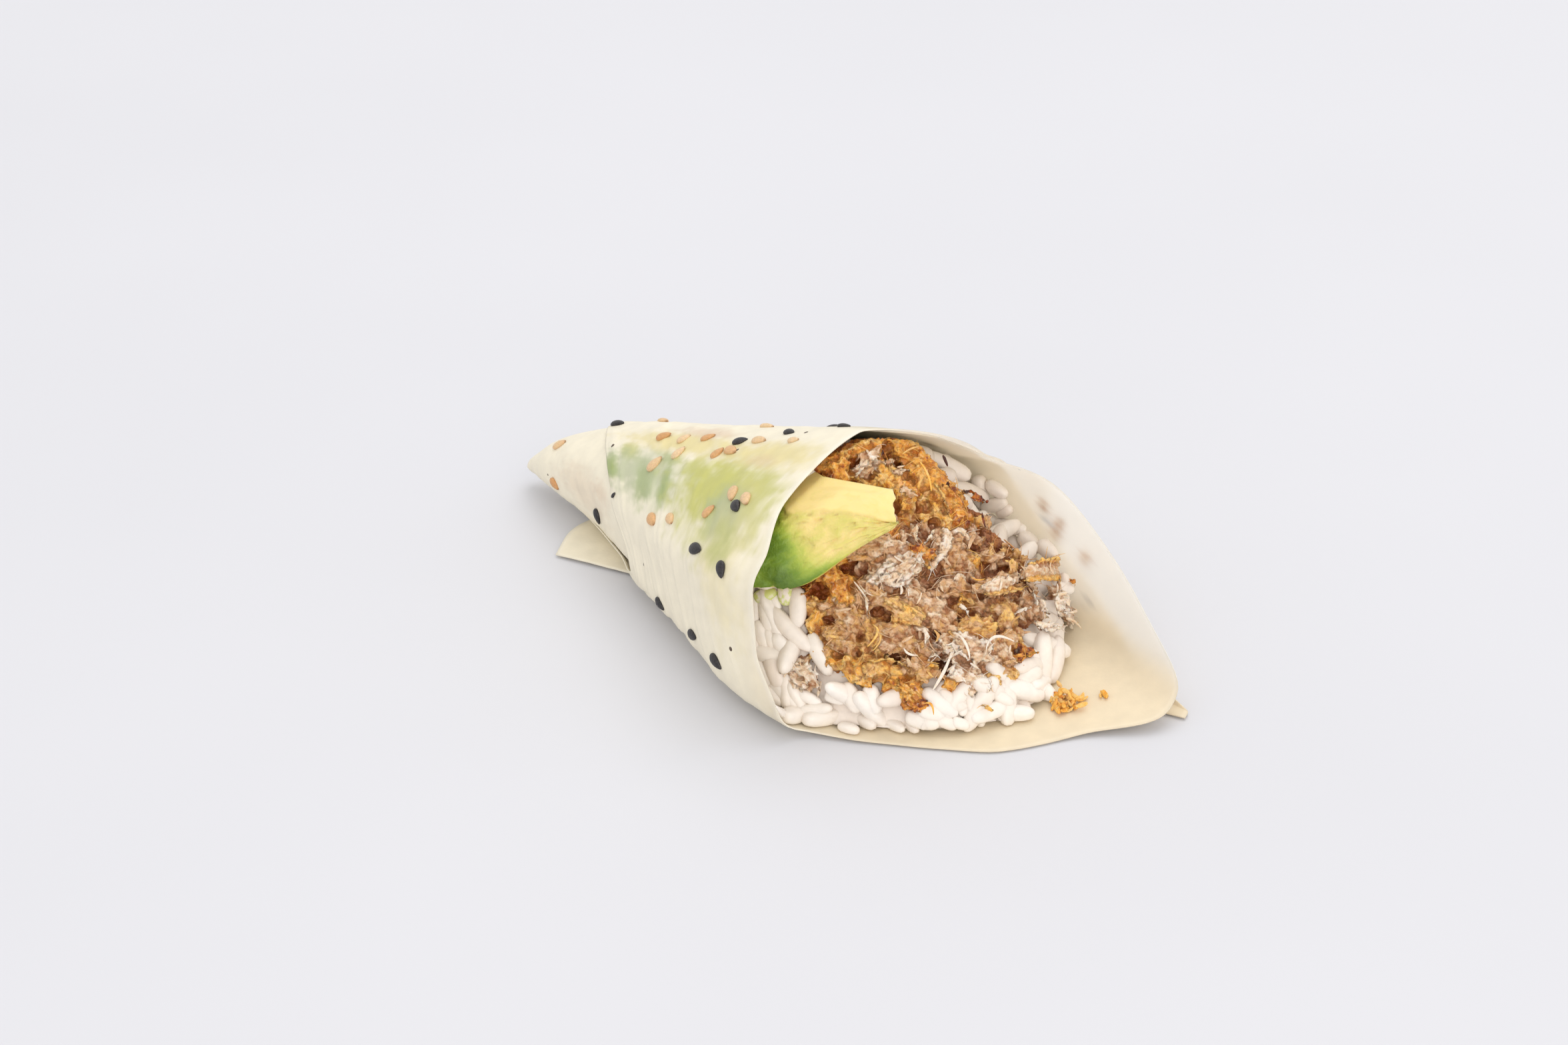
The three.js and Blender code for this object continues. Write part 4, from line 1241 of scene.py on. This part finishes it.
shred_mesh = joined("fish_shreds", LUMP, shreds)
shred_faces = [list(face.vertices) for face in shred_mesh.polygons]
shred_tree = BVHTree.FromPolygons(np.concatenate(shreds).tolist(), shred_faces)
bm = plug(FISH_FROM, lambda angle: fish_share(angle) * 0.97, -HOLLOW, dome=1.2, sides=48, rings=40)
bm.from_mesh(shred_mesh)
rough = bpy.data.objects.new("fish_rough", mesh_from("fish_rough", bm))
bpy.context.scene.collection.objects.link(rough)
melt = rough.modifiers.new("melt", "REMESH")
melt.mode = "VOXEL"
melt.voxel_size = VOXEL_MM
fish_mesh = bpy.data.meshes.new_from_object(rough.evaluated_get(bpy.context.evaluated_depsgraph_get()))
bpy.data.objects.remove(rough)
print("fish body:", len(fish_mesh.vertices), "corners")

# %% [markdown]
# ## Cracks and browning
#
# Flesh splits where its flakes meet, so the body sinks along the walls between Voronoi
# cells the size of a flake, and finer noise makes the crumbly skin of the crust. Browning
# is a number on each corner, from white flesh at 0 to charred at 1. It comes from the
# nearest shred, and so does a place that is stretched along the shred, for noise that runs
# like its fibres. Two more numbers tell how deep a corner lies in the mouth and in a pit:
# both are painted darker, as painted shade where little light gets in. Ridges of flesh are
# painted paler, as a painted highlight.

# %% Crack and brown the body
FLAKE_MM, CRUMB_MM, PATCH_MM = 1.5, 0.6, 1.3
ALONG_FIBRE, ACROSS_FIBRE = 0.35, 2.4  # fibres to a millimetre
PIT_MM, RIDGE_MM = 0.22, 0.3  # the deepest and the highest that count
FACES_PER_SHRED = len(LUMP[1])


def corner_arrays(mesh):
    """A mesh's corners and their normals, as two arrays."""
    points = np.array([v.co[:] for v in mesh.vertices])
    return points, np.array([v.normal[:] for v in mesh.vertices])


def depth_at(point):
    """How deep a point lies behind the mouth's face, in millimetres."""
    return mouth_reach(point[1], point[2]) - point[0]


def cavity(mesh, rounds):
    """How far each corner lies below its smoothed surroundings, in millimetres."""
    points, normals = corner_arrays(mesh)
    ends = np.array([e.vertices[:] for e in mesh.edges])
    both = np.concatenate((ends, ends[:, ::-1]))
    count = np.bincount(both[:, 0], minlength=len(points))[:, None]
    smooth = points
    for _ in range(rounds):
        sums = [np.bincount(both[:, 0], smooth[both[:, 1], k], len(points)) for k in range(3)]
        smooth = np.stack(sums, 1) / count
    return ((smooth - points) * normals).sum(axis=1)


fish_points, fish_normals = corner_arrays(fish_mesh)
fibres = np.zeros((len(fish_points), 3))
browning, hollow, patches, sunk, crusty = (np.zeros(len(fish_points)) for _ in range(5))
for i, co in enumerate(fish_points):
    place = Vector(co)
    nearest = shred_tree.find_nearest(place)[2] // FACES_PER_SHRED
    own = shred_browning[nearest]
    centre, rows = shred_lie[nearest]
    in_shred = Vector(rows @ (co - centre)) + Vector((nearest, 0, 0))
    fibres[i] = (in_shred.x * ALONG_FIBRE, in_shred.y * ACROSS_FIBRE, in_shred.z * ACROSS_FIBRE)
    strands = noise.fractal(Vector(fibres[i]), 0.7, 2.0, 2)
    near, _ = noise.voronoi(place / FLAKE_MM + 0.4 * noise.noise_vector(place / 2.0))
    wall = 1 - ramp(0.0, 0.14, near[1] - near[0])
    crumbs = noise.fractal(place / CRUMB_MM, 0.6, 2.1, 3)
    patches[i] = noise.fractal(place / PATCH_MM, 0.8, 2.0, 2)
    crusty[i] = ramp(0.4, 0.65, own)
    sunk[i] = 0.3 * wall + (0.06 + 0.14 * crusty[i]) * (0.6 - crumbs)
    sunk[i] += 0.26 * (1 - crusty[i]) * (0.4 - strands)
    sunk[i] += 0.3 * crusty[i] * (0.5 - patches[i])
    # painted shade: the deeper a corner lies in the mouth, the darker its colour is painted
    hollow[i] = ramp(-1.0, 2.4, depth_at(co))
    browning[i] = own + (0.04 + 0.06 * crusty[i]) * patches[i]
fish_points -= fish_normals * sunk[:, None]
fish_mesh.vertices.foreach_set("co", fish_points.astype(np.float32).ravel())
fish_mesh.update()
pits = cavity(fish_mesh, 8)
print(f"pits from {np.percentile(pits, 5):.2f} to {np.percentile(pits, 95):.2f} mm")
ridge = np.clip(-pits / RIDGE_MM, 0, 1)
# ridges of crust brown a little more, and ridges of flesh are painted paler, as a painted highlight
browning = np.clip(browning + ridge * (0.06 * crusty - 0.1 * (1 - crusty)), 0, 1)
# painted shade: corners in pits are painted darker
pits = np.clip(pits / PIT_MM, 0, 1)


def mark(mesh, **values):
    """Stores numbers on a mesh's corners, for its material to read."""
    for name, numbers in values.items():
        kind, field = ("FLOAT_VECTOR", "vector") if np.ndim(numbers) == 2 else ("FLOAT", "value")
        layer = mesh.attributes.new(name, kind, "POINT")
        layer.data.foreach_set(field, np.asarray(numbers, dtype=np.float32).ravel())


tones = np.clip(0.5 + 0.6 * patches, 0, 1)
mark(fish_mesh, browning=browning, hollow=hollow, pit=pits, fibre=fibres, tone=tones)
print(f"browning from {browning.min():.2f} to {browning.max():.2f}")

# %% [markdown]
# ## Fish finish
#
# One material serves the body, the flakes and the crumbs: the browning number runs through
# a ramp from pinkish white flesh, through straw and gold, to amber and char. Pale streaks
# follow the fibres. It is moist and a little oily, so it has small bright highlights, and
# thin flesh lets light into it.

# %% Fried fish
MUSCLE_MM, CRUST_MM = 0.4, 0.9

fried_fish, tree, output, where = new_material("fried flaked fish")
own = add(tree, "ShaderNodeAttribute", attribute_name="browning")
tone = add(tree, "ShaderNodeAttribute", attribute_name="tone")
deep = add(tree, "ShaderNodeAttribute", attribute_name="hollow")
patch = add(
    tree, "ShaderNodeTexNoise",
    {"Vector": where, "Scale": METRE / CRUST_MM, "Detail": 5.0, "Distortion": 0.4},
)
shift = add(
    tree, "ShaderNodeMapRange",
    {"Value": patch.outputs["Fac"], "From Min": 0.3, "From Max": 0.7, "To Min": -0.11, "To Max": 0.11},
)
nudge = add(tree, "ShaderNodeMapRange", {"Value": tone.outputs["Fac"], "To Min": -0.05, "To Max": 0.05})
offset = add(
    tree, "ShaderNodeMath", {0: shift.outputs["Result"], 1: nudge.outputs["Result"]}, operation="ADD",
)
browned = add(tree, "ShaderNodeMath", {0: own.outputs["Fac"], 1: offset.outputs["Value"]}, operation="ADD")
base = add(
    tree, "ShaderNodeValToRGB", {"Fac": browned.outputs["Value"]},
    stops=((0.0, "#F5E6D6"), (1.0, "#431D10"), (0.14, "#EACDAC"), (0.3, "#D6A87C"), (0.44, "#DCA968"),
           (0.56, "#F7C876"), (0.68, "#F7B64E"), (0.8, "#E09034"), (0.9, "#964718")),
)
lie = add(tree, "ShaderNodeAttribute", attribute_name="fibre")
strand = add(tree, "ShaderNodeTexNoise", {"Vector": lie.outputs["Vector"], "Scale": 1.0, "Detail": 2.0})
pale = add(
    tree, "ShaderNodeMapRange",
    {"Value": strand.outputs["Fac"], "From Min": 0.52, "From Max": 0.7, "To Max": 0.36},
)
streaked = add(
    tree, "ShaderNodeMix",
    {0: pale.outputs["Result"], MIX_A: base.outputs["Color"], MIX_B: linear("#FFEBCC")},
    data_type="RGBA",
)
# painted shade: colour multiplied darker the deeper a corner lies in the mouth
mouth_depth_shade = add(tree, "ShaderNodeMapRange", {"Value": deep.outputs["Fac"], "To Min": 0.0, "To Max": 0.85})
darkened = add(
    tree, "ShaderNodeMix",
    {0: mouth_depth_shade.outputs["Result"], MIX_A: streaked.outputs[MIX_OUT], MIX_B: linear("#AA744A")},
    data_type="RGBA", blend_type="MULTIPLY",
)
# painted shade: colour multiplied darker in pits and crevices
pitted = add(tree, "ShaderNodeAttribute", attribute_name="pit")
pit_shade = add(tree, "ShaderNodeMapRange", {"Value": pitted.outputs["Fac"], "To Min": 0.0, "To Max": 0.7})
pit_shaded = add(
    tree, "ShaderNodeMix",
    {0: pit_shade.outputs["Result"], MIX_A: darkened.outputs[MIX_OUT], MIX_B: linear("#BE844C")},
    data_type="RGBA", blend_type="MULTIPLY",
)
muscle = add(tree, "ShaderNodeTexNoise", {"Vector": where, "Scale": METRE / MUSCLE_MM, "Detail": 4.0})
height = add(tree, "ShaderNodeMath", {0: muscle.outputs["Fac"], 1: strand.outputs["Fac"]}, operation="ADD")
relief = add(
    tree, "ShaderNodeBump", {"Height": height.outputs["Value"], "Strength": 0.8, "Distance": 0.4 * MM},
)
moist = add(
    tree, "ShaderNodeMapRange",
    {"Value": muscle.outputs["Fac"], "From Min": 0.35, "From Max": 0.65, "To Min": 0.3, "To Max": 0.52},
)
shader = add(
    tree, "ShaderNodeBsdfPrincipled",
    {"Base Color": pit_shaded.outputs[MIX_OUT], "Roughness": moist.outputs["Result"], "IOR": 1.45,
     "Subsurface Weight": 0.2, "Subsurface Radius": (1.0, 0.5, 0.3), "Subsurface Scale": 0.6 * MM,
     "Normal": relief.outputs["Normal"]},
)
tree.links.new(shader.outputs["BSDF"], output.inputs["Surface"])
finish_piece("fish_body", fish_mesh, fried_fish, "flaked_fish")

# %% [markdown]
# ## Flakes and threads
#
# Cooked fish parts along its muscle into flakes: thin curved petals, one to three
# millimetres long, with ragged ends. A petal is a ball of few faces, flattened and bowed.
# Seeded ones stand up a little from the pale flesh, paler than what they came from, and
# threads a tenth of a millimetre thick lie between them. Threads that can be told apart
# are drawn each through three places, and crumbs lie where they fell on the sheet.

# %% Petals
PETALS = 260
CRUST_FROM = 0.5  # the browning from which flesh no longer flakes
OPEN_FROM, OPEN_TO, OPEN_ABOVE = -6, 1.6, 1.5  # mm in from the face, and above the table

bm = bmesh.new()
bmesh.ops.create_uvsphere(bm, u_segments=8, v_segments=6, radius=1.0)
bmesh.ops.rotate(bm, verts=bm.verts, matrix=Matrix.Rotation(math.pi / 2, 3, "Y"))
PETAL = template_from(bm)


def petal(place, rows, radii, bow, cup, rng):
    """A thin flake: bowed along its length, cupped across it, with a ragged outline."""
    shape = PETAL[0].copy()
    shape[:, 1] *= 1 + 0.6 * (rng.random(len(shape)) - 0.5)
    shape[:, 0] *= 1 + 0.3 * (rng.random(len(shape)) - 0.5)
    shape[:, 2] *= 1 - 0.5 * shape[:, 1] ** 2
    run, side = shape[:, 0].copy(), shape[:, 1].copy()
    shape = shape * radii
    shape[:, 2] += bow * run ** 2 + cup * side ** 2
    return kept_inside(shape @ rows + place)


open_points = np.array([
    i for i, p in enumerate(fish_points) if OPEN_FROM < depth_at(p) < OPEN_TO and p[2] > OPEN_ABOVE
])
rng = np.random.default_rng(8)
petals, petal_browning, petal_hollow = [], [], []
for pick in rng.choice(open_points, PETALS):
    spot, normal = fish_points[pick], Vector(fish_normals[pick])
    brown = browning[pick]
    lie = Vector(noise.noise_vector(Vector(spot) / 3.0)) + Vector(rng.normal(size=3) * 0.3)
    rows = turned(lie, normal + Vector(rng.normal(size=3) * 0.55))
    if brown > CRUST_FROM:
        continue
    long = 0.5 + 0.8 * rng.random()
    radii = np.array((long, long * (0.14 + 0.16 * rng.random()), 0.1 + 0.05 * rng.random()))
    place = spot + np.array(normal) * 0.12
    petals.append(petal(place, rows, radii, 0.5 * rng.random(), 0.3 * rng.random() - 0.1, rng))
    petal_browning.append(np.clip(brown - 0.12 * rng.random(), 0.06, 0.95))
    # flakes take part of the painted mouth-depth shade of the body below them
    petal_hollow.append(hollow[pick] * 0.7)
print(len(petals), "petals")

# %% Threads
THREADS = 260
THREAD_WIDE, THREAD_THICK = 0.07, 0.06  # half of each, in mm

for pick in rng.choice(open_points, THREADS):
    spot, normal = fish_points[pick], Vector(fish_normals[pick])
    rows = turned(Vector(noise.noise_vector(Vector(spot) / 2.0)), normal + Vector(rng.normal(size=3) * 0.3))
    radii = np.array((0.9 + 1.1 * rng.random(), THREAD_WIDE, THREAD_THICK))
    petals.append(petal(spot + np.array(normal) * 0.3, rows, radii, -0.5 * rng.random(), 0, rng))
    petal_browning.append(np.clip(browning[pick] - 0.1, 0.02, 0.8))
    petal_hollow.append(0.2)

# %% Threads that can be told apart
THREADS_SEEN = (  # as the flakes above, but too thin to melt into the body
    ((1348, 880), (1350, 888), (1348, 894), 0.5, 0.4, 2.0, 0.03),
    ((1280, 872), (1290, 884), (1304, 904), 0.3, 0.25, 1.4, 0.08),
    ((1288, 876), (1300, 890), (1312, 894), 0.3, 0.25, 1.2, 0.12),
    ((1446, 870), (1456, 876), (1468, 874), 0.25, 0.2, 1.8, 0.60),
    ((1580, 932), (1592, 930), (1602, 926), 0.5, 0.4, 3.0, 0.05),
    ((1578, 940), (1590, 942), (1602, 956), 0.5, 0.4, 2.6, 0.10),
    ((1428, 956), (1440, 972), (1446, 994), 0.5, 0.35, 3.2, 0.01),
    ((1466, 985), (1476, 962), (1506, 974), 0.55, 0.4, 3.4, 0.02),
    ((1420, 985), (1412, 1010), (1396, 1038), 0.6, 0.3, 2.8, 0.02),
    ((1398, 946), (1406, 956), (1400, 966), 0.6, 0.4, 1.2, 0.46),
    ((1306, 936), (1318, 948), (1300, 972), 0.5, 0.4, 1.6, 0.56),
    ((1312, 944), (1322, 958), (1308, 978), 0.4, 0.3, 1.6, 0.52),
    ((1354, 972), (1362, 982), (1376, 984), 0.4, 0.3, 2.0, 0.06),
    ((1384, 1056), (1396, 1056), (1400, 1074), 0.45, 0.4, 2.4, 0.72),
    ((1364, 1028), (1368, 1026), (1372, 1028), 0.4, 0.35, 2.8, 0.74),
    ((1394, 694), (1398, 702), (1402, 712), 0.6, 0.5, 3.0, 0.97),
    ((1456, 778), (1458, 788), (1462, 802), 0.45, 0.4, 2.4, 0.94),
    ((1362, 700), (1376, 722), (1382, 748), 0.5, 0.4, 2.8, 0.62),
    ((1340, 690), (1352, 682), (1364, 680), 0.35, 0.3, 2.6, 0.50),
)

for *path, wide, thick, out, brown in THREADS_SEEN:
    petals.append(kept_inside(drawn(PETAL, path, wide, thick, out, rng)[0]))
    petal_browning.append(brown)
    petal_hollow.append(0.0)

# %% Crumbs that fell on the sheet
CRUMBS_SEEN = (  # middle in pixels, half width of the heap in mm, pieces, browning
    ((1598, 1058), 2.2, 60, 0.6),
    ((1656, 1046), 0.7, 4, 0.66),
    ((1463, 1065), 1.1, 14, 0.58),
)
CRUMB_RADII = np.array((0.9, 0.4, 0.3))  # mm
FLAKES_WITHIN = ((-10, -WIDEST, LOWEST), (140, WIDEST, 37))  # mm: two corners of the roll's box

for pixel, wide, pieces, brown in CRUMBS_SEEN:
    spot, normal = seen(sheet_tree, pixel)
    outward = facing_camera(normal)
    up = np.array(outward)
    for _ in range(pieces):
        offset = rng.normal(size=3) * 0.45 * wide
        height = offset @ up
        place = np.array(spot + outward * (0.4 + 0.6 * abs(height))) + offset - up * height
        rows = turned(Vector(rng.normal(size=3)), outward + Vector(rng.normal(size=3) * 0.5))
        radii = CRUMB_RADII * (0.7 + 0.5 * rng.random())
        petals.append(petal(place, rows, radii, 0.2, 0, rng))
        petal_browning.append(brown + 0.07 * rng.normal())
        petal_hollow.append(0.0)
petals = [np.clip(shape, *FLAKES_WITHIN) for shape in petals]
flake_mesh = joined(
    "fish_flakes", PETAL, petals,
    [("browning", petal_browning), ("hollow", petal_hollow), ("tone", rng.random(len(petals)))],
)
flakes = finish_piece("fish_flakes", flake_mesh, fried_fish)
smooth = flakes.modifiers.new("smooth", "SUBSURF")
smooth.levels = smooth.render_levels = 1

# %% [markdown]
# ## Rice
#
# Short-grain rice swells as it cooks to fat, translucent grains, seven millimetres long,
# with blunt ends and a slight bow. They stick where they touch. A lumpy core fills the
# space between the fish and the sheet, and loose grains are bedded in it: first the ones
# that can be told apart, laid end to end, then seeded ones that fill the gaps.

# %% Rice core
RICE_FROM = 13  # mm from the point
RICE_BACK = 1.5  # mm from the mouth's face to the core
BACK_WALL_RECESS = 10.0  # mm deeper still under the back wall
UNDER_FISH = 4.0  # mm deeper where the fish covers it
GRAIN_CELL = 3.0  # mm from one lump of the core to the next


def recess(angle):
    """How much deeper the rice lies under the back wall, where it didn't reach the mouth."""
    since = (angle + 0.7) % TURN
    return BACK_WALL_RECESS * ramp(0.2, 0.8, since) * (1 - ramp(2.4, 2.8, since))


bm = plug(RICE_FROM, lambda angle: 1.0, -RICE_BACK, dome=0, sides=130, rings=120)
bm.normal_update()
for corner in bm.verts:
    near, _ = noise.voronoi(corner.co / GRAIN_CELL)
    groove = 0.15 + 0.4 * (1 - ramp(0.0, 0.45, near[1] - near[0]))
    corner.co -= corner.normal * groove * ramp(60, 80, corner.co.x)
    x, y, z = corner.co
    rise = z - section_middle(x)
    angle = math.atan2(y, rise) % TURN
    share = math.hypot(y, rise) / lining_radius(angle, x)
    fish_edge = fish_share(angle)
    covered = 1 - ramp(fish_edge - 0.2, fish_edge - 0.05, share)
    x -= (recess(angle) + UNDER_FISH * covered) * ramp(50, 85, x)
    corner.co = polar(x, angle, min(share, 1.0) * lining_radius(angle, x))
rice_tree = BVHTree.FromBMesh(bm)
rice_core_mesh = mesh_from("rice_core", bm)

# %% Grains that can be told apart
GRAINS_SEEN = (  # both ends in pixels, width in mm
    ((1162, 918), (1210, 968), 2.5), ((1222, 960), (1240, 1003), 2.4), ((1199, 893), (1199, 930), 2.6),
    ((1149, 900), (1156, 936), 2.2), ((1163, 896), (1168, 910), 1.5), ((1180, 886), (1181, 898), 2.3),
    ((1143, 896), (1160, 890), 2.1), ((1139, 938), (1150, 963), 2.2), ((1138, 977), (1180, 986), 2.5),
    ((1152, 950), (1161, 964), 1.8), ((1138, 994), (1158, 1021), 2.1), ((1165, 1026), (1195, 1054), 2.1),
    ((1152, 1036), (1170, 1050), 2.1), ((1168, 957), (1183, 976), 2.2), ((1163, 1068), (1198, 1063), 1.7),
    ((1203, 1066), (1243, 1062), 1.9), ((1180, 1087), (1203, 1082), 2.7), ((1215, 1091), (1250, 1086), 2.9),
    ((1254, 1057), (1304, 1097), 2.7), ((1274, 1034), (1286, 1058), 2.5), ((1248, 1043), (1263, 1048), 1.9),
    ((1307, 1038), (1313, 1060), 2.6), ((1300, 1070), (1350, 1101), 2.1), ((1334, 1056), (1372, 1102), 2.4),
    ((1206, 1041), (1227, 1052), 1.7), ((1264, 1098), (1282, 1103), 1.7), ((1134, 898), (1135, 932), 1.7),
    ((1160, 992), (1172, 1022), 2.8), ((1370, 1077), (1398, 1085), 2.6), ((1504, 1032), (1550, 1045), 2.7),
    ((1558, 1036), (1577, 1052), 2.3), ((1536, 1017), (1568, 1026), 2.4), ((1493, 1047), (1509, 1056), 1.8),
    ((1469, 1074), (1470, 1092), 1.8), ((1453, 1048), (1455, 1066), 1.6), ((1440, 1055), (1443, 1069), 1.6),
    ((1484, 1079), (1540, 1082), 2.6), ((1526, 1059), (1539, 1070), 2.1), ((1391, 1044), (1424, 1069), 2.6),
    ((1412, 1045), (1440, 1062), 2.2), ((1409, 1080), (1428, 1088), 1.9), ((1433, 1085), (1446, 1089), 1.7),
)
WALL_GRAINS_SEEN = (
    ((1416, 703), (1455, 713), 2.6), ((1476, 718), (1478, 736), 2.6), ((1493, 725), (1510, 737), 2.1),
    ((1486, 757), (1510, 751), 2.2), ((1507, 767), (1518, 762), 1.8), ((1469, 768), (1502, 784), 2.3),
    ((1502, 784), (1538, 791), 2.2), ((1468, 742), (1477, 755), 1.6), ((1489, 803), (1497, 828), 2.4),
    ((1508, 804), (1528, 814), 3.0), ((1545, 805), (1561, 818), 2.5), ((1573, 817), (1584, 828), 2.4),
    ((1524, 838), (1553, 833), 2.1), ((1547, 847), (1578, 854), 2.1), ((1537, 985), (1551, 991), 2.3),
    ((1567, 969), (1589, 979), 2.4), ((1601, 868), (1605, 886), 1.8),
)
LIMED = ((1180, 886), (1143, 896))  # where two grains start that avocado rubbed off on
GRAIN = ball(2)
BLUNTNESS = 3.4  # the power of a grain's outline: 2 is a plain oval


def grain(one, two, outward, wide, out, rng):
    """A grain between two places, bedded in what lies behind it."""
    shape = GRAIN[0].copy()
    blunt = (np.abs(shape) ** BLUNTNESS).sum(axis=1) ** (-1 / BLUNTNESS)
    shape *= blunt[:, None] * 1.06
    long = (two - one).length / 2 + 0.42 * wide
    bow = 0.35 * (rng.random() - 0.5) * long / 3.5
    pinch = 1 - 0.16 * rng.random() * shape[:, 0:1]
    shape[:, 1:] *= pinch
    run = shape[:, 0:1] ** 2
    shape = shape * np.array((long, wide / 2, wide * 0.46))
    shape[:, 1:2] += bow * run
    shape += 0.05 * wide * (rng.random(shape.shape) - 0.5)
    middle = (one + two) / 2 + outward.normalized() * out
    return kept_inside(shape @ turned(two - one, outward) + np.array(middle))


rng = np.random.default_rng(14)
grains, grain_tone, grain_lime = [], [], []


def bed(entries, out):
    """Lays the seen grains on the rice behind them, or on the sheet where there is none."""
    for start, end, wide in entries:
        bedding = rice_tree if seen(rice_tree, start)[0] and seen(rice_tree, end)[0] else sheet_tree
        one, normal = seen(bedding, start)
        two, other = seen(bedding, end)
        lift = out if bedding is rice_tree else 0.5 * wide
        grains.append(grain(one, two, facing_camera(normal + other), wide, lift, rng))
        grain_tone.append(rng.random())
        grain_lime.append(1.0 if start in LIMED else 0.0)


bed(GRAINS_SEEN, 1.0)
bed(WALL_GRAINS_SEEN, 0.6)

# %% Grains that fill the gaps
GRAINS_LOOSE = 50
OUTERMOST = 0.93  # of the way from the mouth's middle to the lining

for i in range(GRAINS_LOOSE):
    angle = 0.5 + (TURN - 1.5) * ((i + 0.8 * rng.random()) / GRAINS_LOOSE)
    inner = fish_share(angle)
    share = inner + (OUTERMOST - inner) * ((i * GOLDEN_SHARE) % 1)
    spot = mouth_point(angle, share, -RICE_BACK + 0.8 * rng.random() - recess(angle))
    outward = Vector((1, rng.random() - 0.5, 0.6))
    lie = Vector((0.4 * (rng.random() - 0.5), rng.random() - 0.5, rng.random() - 0.5)).normalized()
    half = 2.5 + 1.0 * rng.random()
    wide = 2.4 + 0.4 * rng.random()
    grains.append(grain(spot - lie * half, spot + lie * half, outward, wide, 0, rng))
    grain_tone.append(rng.random())
    grain_lime.append(0.0)
rice_mesh = joined(
    "rice_grains", GRAIN, grains, [("tone", np.array(grain_tone)), ("lime", np.array(grain_lime))],
)
print(len(grains), "grains")

# %% Cooked rice
STARCH_MM = 1.2

cooked_rice, tree, output, where = new_material("cooked rice")
tone = add(tree, "ShaderNodeAttribute", attribute_name="tone")
base = add(
    tree, "ShaderNodeValToRGB", {"Fac": tone.outputs["Fac"]},
    stops=((0.0, "#EFE3D7"), (1.0, "#F7EFE6"), (0.5, "#F3E9DD")),
)
starch = add(tree, "ShaderNodeTexNoise", {"Vector": where, "Scale": METRE / STARCH_MM, "Detail": 3.0})
cloud = add(tree, "ShaderNodeValToRGB", {"Fac": starch.outputs["Fac"]}, stops=((0.3, 0.92), (0.7, 1.0)))
clouded = add(
    tree, "ShaderNodeMix", {0: 1.0, MIX_A: base.outputs["Color"], MIX_B: cloud.outputs["Color"]},
    data_type="RGBA", blend_type="MULTIPLY",
)
rubbed = add(tree, "ShaderNodeAttribute", attribute_name="lime")
patch = add(
    tree, "ShaderNodeMapRange",
    {"Value": starch.outputs["Fac"], "From Min": 0.45, "From Max": 0.55, "To Max": 0.75},
)
lime = add(
    tree, "ShaderNodeMath", {0: rubbed.outputs["Fac"], 1: patch.outputs["Result"]}, operation="MULTIPLY",
)
limed = add(
    tree, "ShaderNodeMix",
    {0: lime.outputs["Value"], MIX_A: clouded.outputs[MIX_OUT], MIX_B: linear("#C5D14A")},
    data_type="RGBA",
)
relief = add(
    tree, "ShaderNodeBump", {"Height": starch.outputs["Fac"], "Strength": 0.25, "Distance": 0.15 * MM},
)
shader = add(
    tree, "ShaderNodeBsdfPrincipled",
    {"Base Color": limed.outputs[MIX_OUT], "Roughness": 0.34, "IOR": 1.42, "Subsurface Weight": 0.1,
     "Subsurface Radius": (1.0, 1.0, 0.98), "Subsurface Scale": 0.5 * MM, "Normal": relief.outputs["Normal"]},
)
tree.links.new(shader.outputs["BSDF"], output.inputs["Surface"])
finish_piece("rice_core", rice_core_mesh, cooked_rice, "rice")
rice_grains = finish_piece("rice_grains", rice_mesh, cooked_rice)
smooth = rice_grains.modifiers.new("smooth", "SUBSURF")
smooth.levels = smooth.render_levels = 1

# %% [markdown]
# ## Last look
#
# Both boxes, the imported model's and the dressed roll's, are listed, and how far the roll grows past the
# first is printed. The dressed roll has to stay inside the imported model's box.

# %% Sizes of both boxes
bpy.context.view_layer.update()
low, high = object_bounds()
{"cad": [list(cad_low), list(cad_high)], "visual": [list(low), list(high)]}
print("grown by, in mm:", [round(v * METRE, 2) for v in (*(cad_low - low), *(high - cad_high))])
